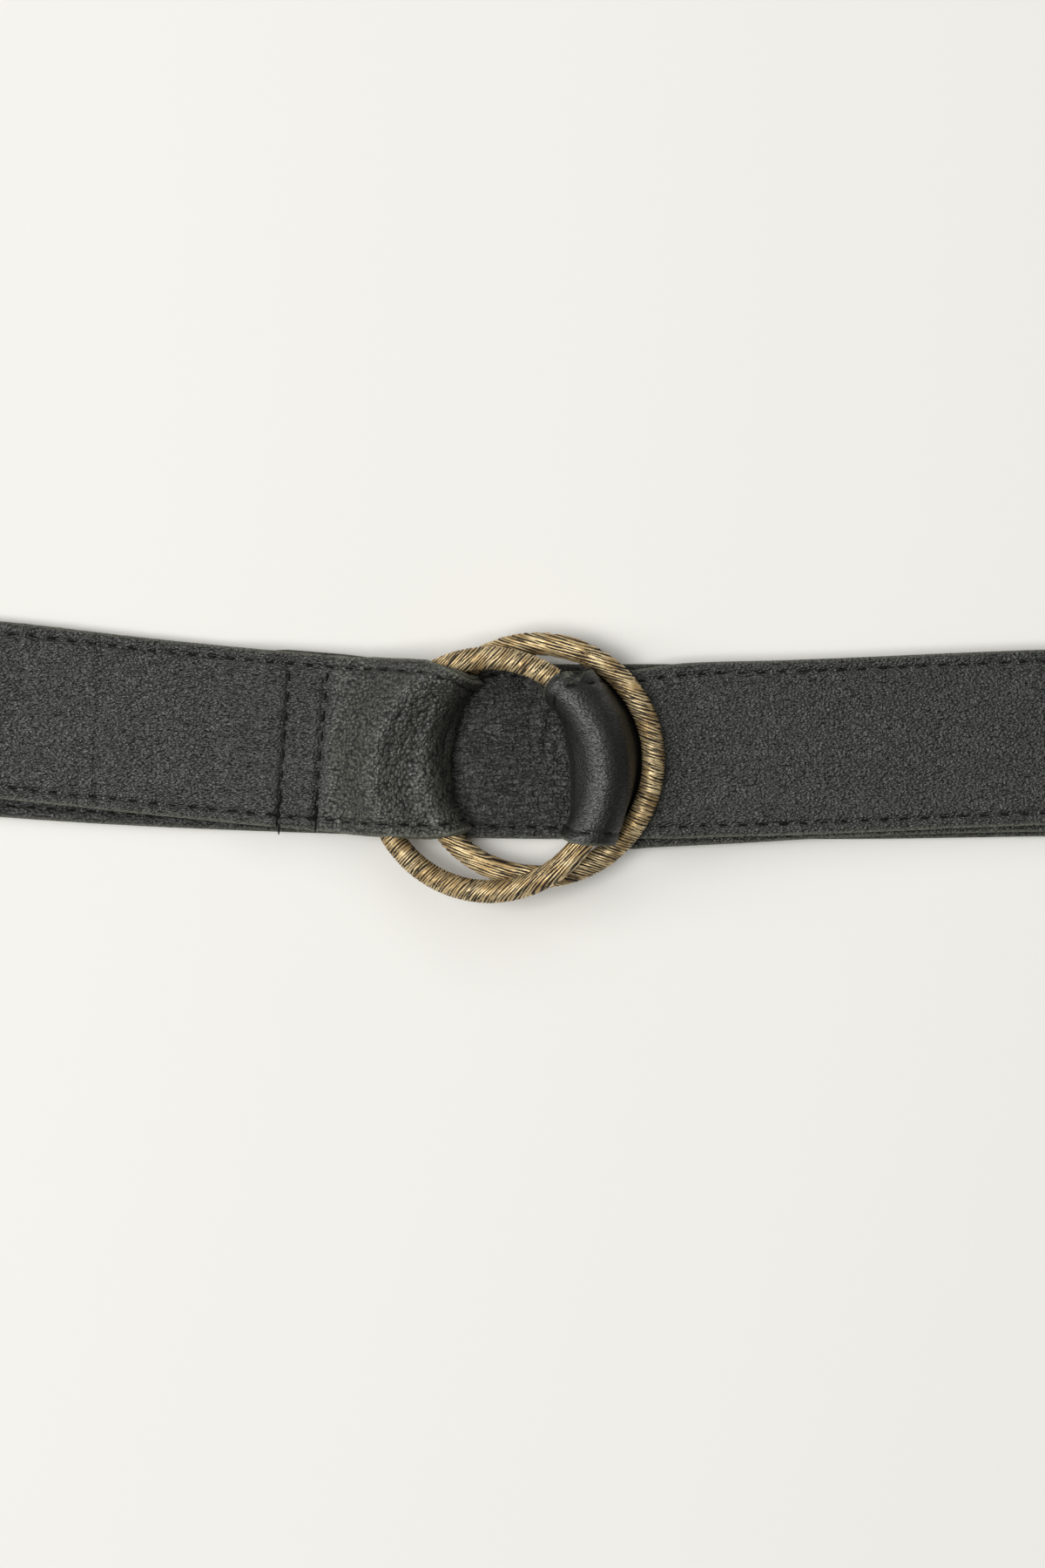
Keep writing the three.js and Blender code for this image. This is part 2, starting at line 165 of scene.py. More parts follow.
class Course:
    """A smooth line through the rows of a short table."""

    def __init__(self, *rows: Row) -> None:
        """Keeps the rows.

        Args:
            rows: Pairs of a place and the value there, in rising order of place.
        """
        self.key = np.array([r[0] for r in rows], dtype=float)
        self.value = np.array([r[1] for r in rows], dtype=float)
        before = np.maximum(np.arange(len(rows)) - 1, 0)
        after = np.minimum(np.arange(len(rows)) + 1, len(rows) - 1)
        rise = self.value[after] - self.value[before]
        self.slope = rise / (self.key[after] - self.key[before])

    def at(self, place: np.ndarray | float) -> np.ndarray:
        """The value at each place, held level past the ends.

        Args:
            place: Where to read the line.

        Returns:
            The values there.
        """
        place = np.asarray(place, dtype=float)
        i = np.clip(np.searchsorted(self.key, place, "right") - 1, 0, len(self.key) - 2)
        length = self.key[i + 1] - self.key[i]
        rise = self.value[i + 1] - self.value[i]
        chord = rise / length

        def calm(s: np.ndarray) -> np.ndarray:
            """A slope that can't overshoot the chord."""
            held = np.sign(s) * np.minimum(np.abs(s), 3 * np.abs(chord))
            return np.where(s * chord <= 0, 0.0, held)

        t = np.clip((place - self.key[i]) / length, 0.0, 1.0)
        start = calm(self.slope[i]) * length
        end = calm(self.slope[i + 1]) * length
        return (
            self.value[i]
            + start * t
            + (3 * rise - 2 * start - end) * t * t
            + (start + end - 2 * rise) * t * t * t
        )


def rounded_max(a: np.ndarray, b: np.ndarray, blend: float) -> np.ndarray:
    """The larger of two heights, rounded where they meet.

    Args:
        a: One height.
        b: The other height.
        blend: How far apart they stop being rounded.

    Returns:
        The rounded larger height.
    """
    share = np.maximum(blend - np.abs(a - b), 0.0) / blend
    return np.maximum(a, b) + share * share * blend / 4


# The belt's own sizes


@dataclass(frozen=True)
class LeatherSizes:
    """Thicknesses and levels of the strap, in millimetres."""

    width: float = 38.2
    layer: float = 1.0
    seam: float = 0.2
    rest_gap: float = 0.3
    wire: float = 5.0
    wire_gap: float = 0.5
    ring_gap: float = 0.38
    edge_room: float = 0.3
    ring_radius: float = 25.4
    stitch_inset: float = 2.55
    stitch_pitch: float = 4.4
    snug: float = 0.05

    @property
    def thick(self) -> float:
        """Both layers and the seam between them."""
        return 2 * self.layer + self.seam

    @property
    def half(self) -> float:
        """Half the strap's width."""
        return self.width / 2

    @property
    def hug(self) -> float:
        """From the middle of a wire to the middle of leather laid on it."""
        return self.wire / 2 + self.wire_gap + self.thick / 2

    def level(self, layers: np.ndarray | float) -> np.ndarray | float:
        """Height of the strap's middle with so many straps below it.

        Args:
            layers: How many thicknesses of strap lie below.

        Returns:
            The height above the floor.
        """
        return self.thick / 2 + layers * (self.thick + self.rest_gap)


@dataclass
class RingPlace:
    """Where a ring lies: its middle and how it is tilted."""

    radius: float
    wire: float
    x: float
    y: float
    z: float
    rise_x: float
    rise_y: float

    def height(self, x: np.ndarray, y: np.ndarray) -> np.ndarray:
        """Height of the middle of the wire at a place."""
        return self.z + self.rise_x * (x - self.x) + self.rise_y * (y - self.y)

    def wire_x(self, y: np.ndarray, side: int) -> np.ndarray:
        """X of the middle of the wire at one y, on its left (-1) or right (+1)."""
        least = 0.14 * self.radius**2
        return self.x + side * np.sqrt(
            np.maximum(self.radius**2 - (y - self.y) ** 2, least)
        )

    def inner_x(self, y: np.ndarray, side: int) -> np.ndarray:
        """X of the ring's inner edge at one y.

        Args:
            y: Where across the strap.
            side: -1 at the ring's left, +1 at its right.

        Returns:
            X at each place.
        """
        inner = self.radius - self.wire / 2
        left = np.maximum(inner**2 - (y - self.y) ** 2, 0.02 * inner**2)
        return self.x + side * np.sqrt(left)

    def stretch(self, y: np.ndarray) -> np.ndarray:
        """How much longer the wire's section is along X than across the wire."""
        off = (y - self.y) / self.radius
        return 1.0 / np.sqrt(np.maximum(1 - off * off, 0.16))


def crossing_height(front: RingPlace, back: RingPlace, clear: float) -> float:
    """The height that the front ring needs to pass over the back one at both crossings.

    Args:
        front: The front ring, lying at height zero.
        back: The back ring, where it lies.
        clear: Least distance between the middles of their wires.

    Returns:
        The height of the front ring's middle.
    """
    turn = np.arange(1, 361) / 360 * math.tau
    x, y = front.radius * np.cos(turn), front.radius * np.sin(turn)
    away = np.hypot(x - back.x, y - back.y)
    off = away - back.radius
    near_x = back.x + (x - back.x) * back.radius / away
    near_y = back.y + (y - back.y) * back.radius / away
    rise = np.sqrt(np.maximum(clear * clear - off * off, 0.0))
    need = back.height(near_x, near_y) + rise - front.height(x, y)
    return float(np.max(need[np.abs(off) < clear]))


def place_rings(sizes: LeatherSizes) -> tuple[RingPlace, RingPlace]:
    """Lays the back ring on the leather and the front ring across it.

    Args:
        sizes: The strap's and rings' sizes.

    Returns:
        The front ring's place and the back ring's.
    """
    left = sizes.level(1) + sizes.hug
    right = sizes.level(2) + sizes.hug
    rise = (right - left) / (1.62 * sizes.ring_radius)
    radius, wire = sizes.ring_radius, sizes.wire
    back = RingPlace(radius, wire, 10.6, 3.2, left + radius * rise, rise, 0.0)
    front = RingPlace(radius, wire, 0.0, 0.0, 0.0, 0.2, 0.02)
    front.z = crossing_height(front, back, wire + sizes.ring_gap)
    return front, back


class Stretch(Enum):
    """The strap's stretches, in order from its sewn-down tail to its free end."""

    TAIL = 0
    FOLD = 1
    LOOP = 2
    LEFT = 3
    LEFT_BEND = 4
    FLOOR = 5
    RIGHT_BEND = 6
    UNDER = 7
    WRAP = 8
    DROP = 9
    FREE = 10


@dataclass
class StrapForm:
    """The strap's middle surface, as a grid of points along and across it."""

    sizes: LeatherSizes = field(default_factory=LeatherSizes)
    left_bend_x: float = -190.0
    right_bend_x: float = 212.0
    bend_radius: float = 4.5
    bend_lean: float = 0.07
    tail_x: float = -47.5
    tip_x: float = 172.0
    tip_round: float = 15.0
    ramp_slope: float = 0.55
    valley_slope: float = 0.45
    ridge_blend: float = 1.2
    slack_spare: float = 1.04
    far_left_x: float = -150.0
    picture_left_x: float = -110.0
    sewing_x: float = -58.0
    ramp_foot_x: float = -37.0
    loop_end_x: float = -55.0
    back_fade_x: float = -24.0
    back_fade_slope: float = 0.6
    floor_seen: tuple[float, float] = (-14.0, 24.0)
    under_fine_x: float = 48.0
    under_rise_x: float = 176.0
    free_settled_x: float = 44.0
    picture_right_x: float = 121.0
    wrap_belly: float = 0.5
    wrap_shoulder: float = 0.86
    wrap_spread: float = 0.7
    corner_blend: float = 2.4

    def __post_init__(self) -> None:
        """Sets the tables and builds the grid."""
        self.front, self.back = place_rings(self.sizes)
        self.set_courses()
        self.across = self.stations()
        self.rows: list[np.ndarray] = []
        self.zone: list[int] = []
        self.trace()
        self.points = np.array(self.rows)
        self.zones = np.array(self.zone)
        self.outward = self.face_direction()

    def set_courses(self) -> None:
        """The middle lines, widths and heights of each stretch."""
        self.loop_middle = Course(
            (-190.0, 19.6), (-150.0, 17.8), (-106.6, 14.15), (-76.2, 10.8), (-45.8, 7.8),
            (-23.0, 5.95), (-13.3, 5.4), (-7.8, 4.9), (-3.5, 4.5),
        )
        self.loop_share = Course(
            (-190.0, 1.005), (-150.0, 1.005), (-106.6, 1.015), (-76.2, 1.01),
            (-45.8, 1.01), (-23.0, 1.01), (-13.3, 1.005), (-7.8, 0.94), (-3.5, 0.855),
        )
        self.floor_middle = Course(
            (-190.0, 18.8), (-150.0, 13.8), (-106.6, 9.9), (-68.6, 7.6), (-5.0, 5.4),
            (16.5, 5.1), (80.5, 5.1), (121.2, 5.7), (212.0, 6.5),
        )
        self.under_middle = Course(
            (14.0, 3.6), (25.0, 3.6), (31.3, 2.9), (35.0, 3.2), (55.0, 4.2),
            (74.0, 5.3), (112.0, 6.6), (165.0, 7.2), (212.0, 7.3),
        )
        self.free_middle = Course(
            (30.0, 4.4), (45.4, 5.4), (64.4, 5.9), (83.4, 6.65), (102.4, 7.5),
            (121.2, 8.2), (172.0, 9.4),
        )
        self.fold_line = Course(
            (-12.4, -5.2), (-10.0, -6.4), (-5.2, -7.6), (-0.3, -8.1), (4.5, -8.0),
            (8.8, -7.4), (14.2, -5.9), (20.8, -2.5),
        )
        self.wrap_line = Course(
            (-14.7, 16.1), (-10.5, 17.3), (-5.2, 17.6), (-0.3, 17.4), (4.5, 17.1),
            (10.7, 15.9), (15.1, 14.4), (19.3, 12.3),
        )
        self.wrap_middle = Course((0, 3.6), (1, 1.6), (2, 3.2), (3, 4.3))
        self.wrap_share = Course((0, 1.0), (0.45, 0.82), (1, 0.796), (2, 0.953), (3, 0.955))
        self.wrap_corner = Course(
            (13.0, 0.0), (16.0, 10.0), (18.6, 13.2), (20.0, 14.6), (20.9, 16.2), (21.7, 18.8)
        )
        self.loop_layers = Course(
            (-190.0, 3.6), (-178.0, 2.9), (-164.0, 1.5), (-150.0, 1.02), (-62.0, 1.0),
            (-58.0, 1.1), (-52.0, 1.72), (-48.0, 2.02), (-42.0, 2.12), (-36.0, 2.45),
            (-30.0, 2.75),
        )
        self.tail_layers = Course(
            (-47.5, 1.0), (-42.0, 1.06), (-36.0, 1.1), (-28.0, 1.14), (-20.0, 1.06),
            (-14.0, 1.0), (-4.0, 1.0),
        )
        self.under_layers = Course(
            (14.0, 1.0), (178.0, 1.0), (188.0, 1.45), (201.0, 2.95), (212.0, 3.6)
        )

    def stations(self) -> np.ndarray:
        """Places across the strap, closer together along its stitch rows.

        Returns:
            Places from -1 at the lower edge to 1 at the upper one.
        """
        near = [0, 0.35, 0.75, 1.15, 1.5, 1.8, 2.05, 2.3, 2.55, 2.8, 3.05, 3.35, 3.8, 4.4]
        share = -1 + np.array(near) / self.sizes.half
        middle = np.linspace(share[-1], -share[-1], 36)[1:-1]
        return np.concatenate([share, middle, -share[::-1]])

    def lay(self, x: np.ndarray, y: np.ndarray, z: np.ndarray, zone: Stretch) -> None:
        """Adds one section across the strap.

        Args:
            x: X of the stations.
            y: Y of the stations.
            z: Height of the stations.
            zone: The stretch that the section is part of.
        """
        flat = np.broadcast_arrays(x, y, z)
        self.rows.append(np.stack([np.array(c, dtype=float) for c in flat], axis=-1))
        self.zone.append(zone.value)

    def ridge(
        self, ring: RingPlace, x: np.ndarray, y: np.ndarray, out: float, inner: float
    ) -> np.ndarray:
        """Height of leather laid over a ring's wire, falling away beside it.

        Args:
            ring: The ring below the leather.
            x: X of the places.
            y: Y of the places.
            out: Slope of the leather outside the ring.
            inner: Slope of the leather inside it.

        Returns:
            The height at each place.
        """
        hug = self.sizes.hug
        away = np.hypot(x - ring.x, y - ring.y) - ring.radius
        slope = np.where(away > 0, out, inner)
        turn = hug * slope / np.hypot(1, slope)
        far = np.abs(away)
        top = ring.height(x, y)
        arc = np.sqrt(np.maximum(hug * hug - far * far, 0.0))
        return top + np.where(far < turn, arc, hug * np.hypot(1, slope) - far * slope)

    def loop_height(self, x: np.ndarray, y: np.ndarray) -> np.ndarray:
        """Height of the looped end over the rings and on to the left.

        Args:
            x: X of the places.
            y: Y of the places.

        Returns:
            The height at each place.
        """
        base = self.sizes.level(self.loop_layers.at(x)) + 0 * y
        over_back = self.ridge(self.back, x, y, 0.2, 0.2)
        over_front = self.ridge(self.front, x, y, self.ramp_slope, self.valley_slope)
        sunk = over_back - (self.back_fade_x - x) * self.back_fade_slope
        fades = np.where(x < self.back_fade_x, sunk, over_back)
        high = rounded_max(fades, over_front, self.ridge_blend)
        return np.where(x < self.loop_end_x, base, rounded_max(base, high, self.ridge_blend))

    def loop_y(self, x: np.ndarray | float) -> np.ndarray:
        """Y of the looped end's stations at a place along it."""
        half = self.sizes.half * self.loop_share.at(x)
        return self.loop_middle.at(x) + self.across * half

    def run_y(self, course: Course, x: np.ndarray | float) -> np.ndarray:
        """Y of the stations of a run of constant width."""
        return course.at(x) + self.across * self.sizes.half * 1.003

    def wrap_y(self, stage: np.ndarray | float) -> np.ndarray:
        """Y of the wrap's stations at a stage of its way over the front ring."""
        half = self.sizes.half * self.wrap_share.at(stage)
        return self.wrap_middle.at(stage) + self.across * half

    def reach_beside(
        self,
        tight: np.ndarray,
        slack: np.ndarray,
        turn: float,
        shoulder: float = 1.0,
        spread: float = 0.35,
    ) -> np.ndarray:
        """How far leather stands beside a wire, hugging its upper half only.

        Args:
            tight: Reach of leather that hugs the wire.
            slack: Reach of the slack leather below it.
            turn: Angle round the wire.
            shoulder: Below 1 it squares the leather's shoulder over the wire.
            spread: Sine of the turn above and below level at which slack starts and is full.

        Returns:
            The reach at that angle.
        """
        sine, side = math.sin(turn), abs(math.cos(turn))
        share = min(1.0, max(0.0, (spread - sine) / (2 * spread)))
        eased = share * share * (3 - 2 * share)
        full = math.sqrt(side) if sine < 0 else side**shoulder
        return (tight + (slack * self.slack_spare - tight) * eased) * full

    def fold_x(self, turn: float) -> np.ndarray:
        """X of the fold's stations at one turn, from below the wire to above it.

        Args:
            turn: Angle round the wire, level at 0 and up at a quarter turn.

        Returns:
            X of each station.
        """
        x = np.full(self.across.shape, -5.0)
        for _ in range(10):
            y = self.loop_y(x)
            middle = self.back.wire_x(y, -1)
            room = (self.sizes.thick + self.sizes.snug) * self.back.stretch(y)
            least = self.back.inner_x(y, -1) + room
            outer = np.maximum(self.fold_line.at(y), least)
            tight = self.sizes.hug * self.back.stretch(y)
            slack = outer - self.sizes.thick / 2 - middle
            x = (x + middle + self.reach_beside(tight, slack, turn)) / 2
        return x

    def trace(self) -> None:
        """Follows the strap from its tail to its tip."""
        self.trace_tail()
        self.trace_fold()
        self.trace_loop()
        self.trace_left()
        self.trace_left_bend()
        self.trace_floor()
        self.trace_right_bend()
        self.trace_under()
        self.trace_wrap()
        self.trace_drop()
        self.trace_free()

    def trace_tail(self) -> None:
        """The sewn-down tail, to below the back ring's left side."""
        end = self.fold_x(-math.pi / 2)
        start = np.full(end.shape, self.tail_x)
        for x in np.concatenate([start[None], steps(start, end, 26)]):
            z = self.sizes.level(self.tail_layers.at(x))
            spare = 0.5 * smooth(0.5, 1.0, self.across)
            spare = spare * smooth(-22, -32, x) * smooth(-47.5, -44.5, x)
            self.lay(x, self.loop_y(x) + spare, z, Stretch.TAIL)

    def trace_fold(self) -> None:
        """The fold round the back ring."""
        for turn in steps(-math.pi / 2, math.pi / 2, 34):
            x = self.fold_x(float(turn))
            y = self.loop_y(x)
            level = self.back.height(x, y)
            below = level - self.sizes.level(self.tail_layers.at(x))
            above = self.loop_height(x, y) - level
            rise = np.where(turn > 0, above, below)
            self.lay(x, y, level + rise * math.sin(turn), Stretch.FOLD)

    def trace_loop(self) -> None:
        """Over the back ring, over the front ring and down to the sewing."""
        start = self.rows[-1][:, 0]
        crest = self.front.wire_x(self.loop_y(-20.0), -1)
        ramp = np.full(start.shape, self.ramp_foot_x)
        flat = np.full(start.shape, self.sewing_x)
        parts = [steps(start, crest, 30), steps(crest, ramp, 34), steps(ramp, flat, 58)]
        for x in np.concatenate(parts):
            y = self.loop_y(x)
            self.lay(x, y, self.loop_height(x, y), Stretch.LOOP)

    def trace_left(self) -> None:
        """On to the left, up to the left bend."""
        parts = [steps(self.sewing_x, self.picture_left_x, 140)]
        parts.append(steps(self.picture_left_x, self.far_left_x, 16))
        parts.append(steps(self.far_left_x, self.left_bend_x, 18))
        for x in np.concatenate(parts):
            gone = (x - self.sewing_x) / (self.left_bend_x - self.sewing_x)
            lean = gone * self.across * self.sizes.half * self.bend_lean
            z = self.sizes.level(self.loop_layers.at(x))
            self.lay(x + lean, self.loop_y(x), z, Stretch.LEFT)

    def trace_bend(self, side: int, end: np.ndarray, end_z: float, zone: Stretch) -> None:
        """An open bend at one end of the flattened belt.

        Args:
            side: -1 at the left end, +1 at the right one.
            end: Y of the stations where the bend ends.
            end_z: Height where the bend ends.
            zone: The stretch that the bend is.
        """
        begin = self.rows[-1]
        lean = self.across * self.sizes.half * self.bend_lean if side < 0 else 0.0
        place = self.left_bend_x if side < 0 else self.right_bend_x
        middle = (begin[:, 2] + end_z) / 2
        for share in np.arange(1, 24) / 24:
            out = side * self.bend_radius * math.sin(share * math.pi) * 1.05
            y = begin[:, 1] + (end - begin[:, 1]) * share
            z = middle + (begin[:, 2] - middle) * math.cos(share * math.pi)
            self.lay(place + lean + out, y, z, zone)

    def trace_left_bend(self) -> None:
        """The bend at the left end."""
        end = self.run_y(self.floor_middle, self.left_bend_x)
        self.trace_bend(-1, end, self.sizes.level(0), Stretch.LEFT_BEND)

    def trace_floor(self) -> None:
        """The run on the floor, finest where it shows between the rings."""
        left, right = self.floor_seen
        parts = [np.array([self.left_bend_x]), steps(self.left_bend_x, self.picture_left_x, 24)]
        parts += [steps(self.picture_left_x, left, 36), steps(left, right, 80)]
        parts += [steps(right, self.right_bend_x, 50)]
        for x in np.concatenate(parts):
            share = max(0.0, (-100 - x) / (-100 - self.left_bend_x))
            lean = share * self.across * self.sizes.half * self.bend_lean
            y = self.run_y(self.floor_middle, x)
            self.lay(x + lean, y, self.sizes.level(0), Stretch.FLOOR)

    def trace_right_bend(self) -> None:
        """The bend at the right end."""
        end = self.run_y(self.under_middle, self.right_bend_x)
        top = float(self.sizes.level(self.under_layers.at(self.right_bend_x)))
        self.trace_bend(1, end, top, Stretch.RIGHT_BEND)

    def trace_under(self) -> None:
        """Back from the right bend, below both rings."""
        end = self.front.wire_x(self.run_y(self.under_middle, 20.0), 1) + 1.5
        width = np.ones(end.shape)
        bend, rise, near = (
            place * width for place in (self.right_bend_x, self.under_rise_x, self.under_fine_x)
        )
        parts = [bend[None], steps(bend, rise, 22), steps(rise, near, 48), steps(near, end, 22)]
        for x in np.concatenate(parts):
            z = self.sizes.level(self.under_layers.at(x))
            self.lay(x, self.run_y(self.under_middle, x), z, Stretch.UNDER)

    def trace_wrap(self) -> None:
        """Up through both rings and over the front one."""
        for share in steps(0.0, 1.0, 56):
            turn = math.pi * (1.5 - float(share))
            y = self.wrap_y(2 * share)
            middle = self.front.wire_x(y, 1)
            room = (self.sizes.thick + self.sizes.snug) * self.front.stretch(y)
            outer = np.minimum(self.wrap_line.at(y), self.front.inner_x(y, 1) - room)
            level = self.front.height(middle, y)
            high = self.sizes.hug if turn < math.pi else level - self.sizes.level(1)
            belly = self.wrap_belly * (1 - self.across**4)
            tight = self.sizes.hug * self.front.stretch(y) + belly
            slack = np.maximum(middle - outer - self.sizes.thick / 2, tight)
            x = middle - self.reach_beside(
                tight, slack, turn, self.wrap_shoulder, self.wrap_spread
            )
            if turn < math.pi:
                x = rounded_max(x, self.wrap_corner.at(y), self.corner_blend)
            self.lay(x, y, level + high * math.sin(turn), Stretch.WRAP)

    def round_wire(self, stage: float, ring: RingPlace, angle: np.ndarray) -> Section:
        """A section of leather on a ring's wire, at an angle round it.

        Args:
            stage: How far the wrap has come.
            ring: The ring.
            angle: Angle round its wire, at each station.

        Returns:
            X, Y and height of the stations.
        """
        hug = self.sizes.hug
        y = self.wrap_y(stage)
        middle = ring.wire_x(y, 1)
        reach = (hug + self.sizes.edge_room) * np.cos(angle) * ring.stretch(y)
        x = rounded_max(middle + reach, self.wrap_corner.at(y), self.corner_blend)
        return x, y, ring.height(middle, y) + hug * np.sin(angle)

    def trace_drop(self) -> None:
        """Down between the rings and below the back one."""
        hug = self.sizes.hug
        y = self.wrap_y(2.5)
        squeeze = 2 / (self.front.stretch(y) + self.back.stretch(y))
        front_x, back_x = self.front.wire_x(y, 1), self.back.wire_x(y, 1)
        dx = (back_x - front_x) * squeeze
        dz = self.back.height(back_x, y) - self.front.height(front_x, y)
        lean = np.arcsin(np.minimum(0.97, 2 * hug / np.hypot(dx, dz)))
        heading = np.arctan2(dz, dx) - lean
        for share in steps(0.0, 1.0, 22):
            angle = math.pi / 2 + heading * share
            at = self.round_wire(2 + 0.4 * float(share), self.front, angle)
            self.lay(*at, Stretch.DROP)
        start = self.rows[-1]
        first = np.stack(self.round_wire(2.6, self.back, heading + 1.5 * math.pi), -1)
        for between in steps(start, first, 14):
            self.lay(between[:, 0], between[:, 1], between[:, 2], Stretch.DROP)
        for share in steps(0.0, 1.0, 18):
            angle = 1.5 * math.pi + heading * (1 - share)
            at = self.round_wire(2.6 + 0.4 * float(share), self.back, angle)
            self.lay(*at, Stretch.DROP)

    def trace_free(self) -> None:
        """The free end, out to its rounded tip."""
        start = self.rows[-1]
        begin_x, begin_y, begin_z = start[:, 0], start[:, 1], start[:, 2]
        flat = np.ones(begin_x.shape)
        cut = self.tip_round * (1 - np.sqrt(1 - (0.97 * self.across) ** 2))
        last = (self.tip_x - self.tip_round - 3) * flat
        settled, seen = self.free_settled_x * flat, self.picture_right_x * flat
        parts = [steps(begin_x, settled, 24), steps(settled, seen, 158)]
        parts += [steps(seen, last, 18), steps(last, self.tip_x - cut, 12)]
        begin_course = self.run_y(self.free_middle, begin_x)
        level = self.sizes.level(2)
        for x in np.concatenate(parts):
            left = (self.free_settled_x - x) / (self.free_settled_x - begin_x)
            settle = np.clip(left, 0, 1)
            ease = settle * settle * (3 - 2 * settle)
            y = self.run_y(self.free_middle, x) + (begin_y - begin_course) * ease
            self.lay(x, y, level + (begin_z - level) * ease, Stretch.FREE)

    def face_direction(self) -> np.ndarray:
        """The direction in which the face leather points, at every point.

        Returns:
            A unit vector for each point.
        """
        along = np.gradient(self.points, axis=0)
        over = np.gradient(self.points, axis=1)
        out = np.cross(over, along)
        return out / np.linalg.norm(out, axis=-1, keepdims=True)

    def within(self, *zones: Stretch) -> np.ndarray:
        """1 on the sections of some stretches and 0 elsewhere, as a column."""
        wanted = [z.value for z in zones]
        return np.isin(self.zones, wanted).astype(float)[:, None]

    def travel(self, station: int) -> np.ndarray:
        """Length travelled along one station, at every section.

        Args:
            station: Which station across the strap.

        Returns:
            The length so far, in millimetres.
        """
        line = self.points[:, station]
        hop = np.linalg.norm(np.diff(line, axis=0), axis=-1)
        return np.concatenate([[0.0], np.cumsum(hop)])


# Relief of the leather


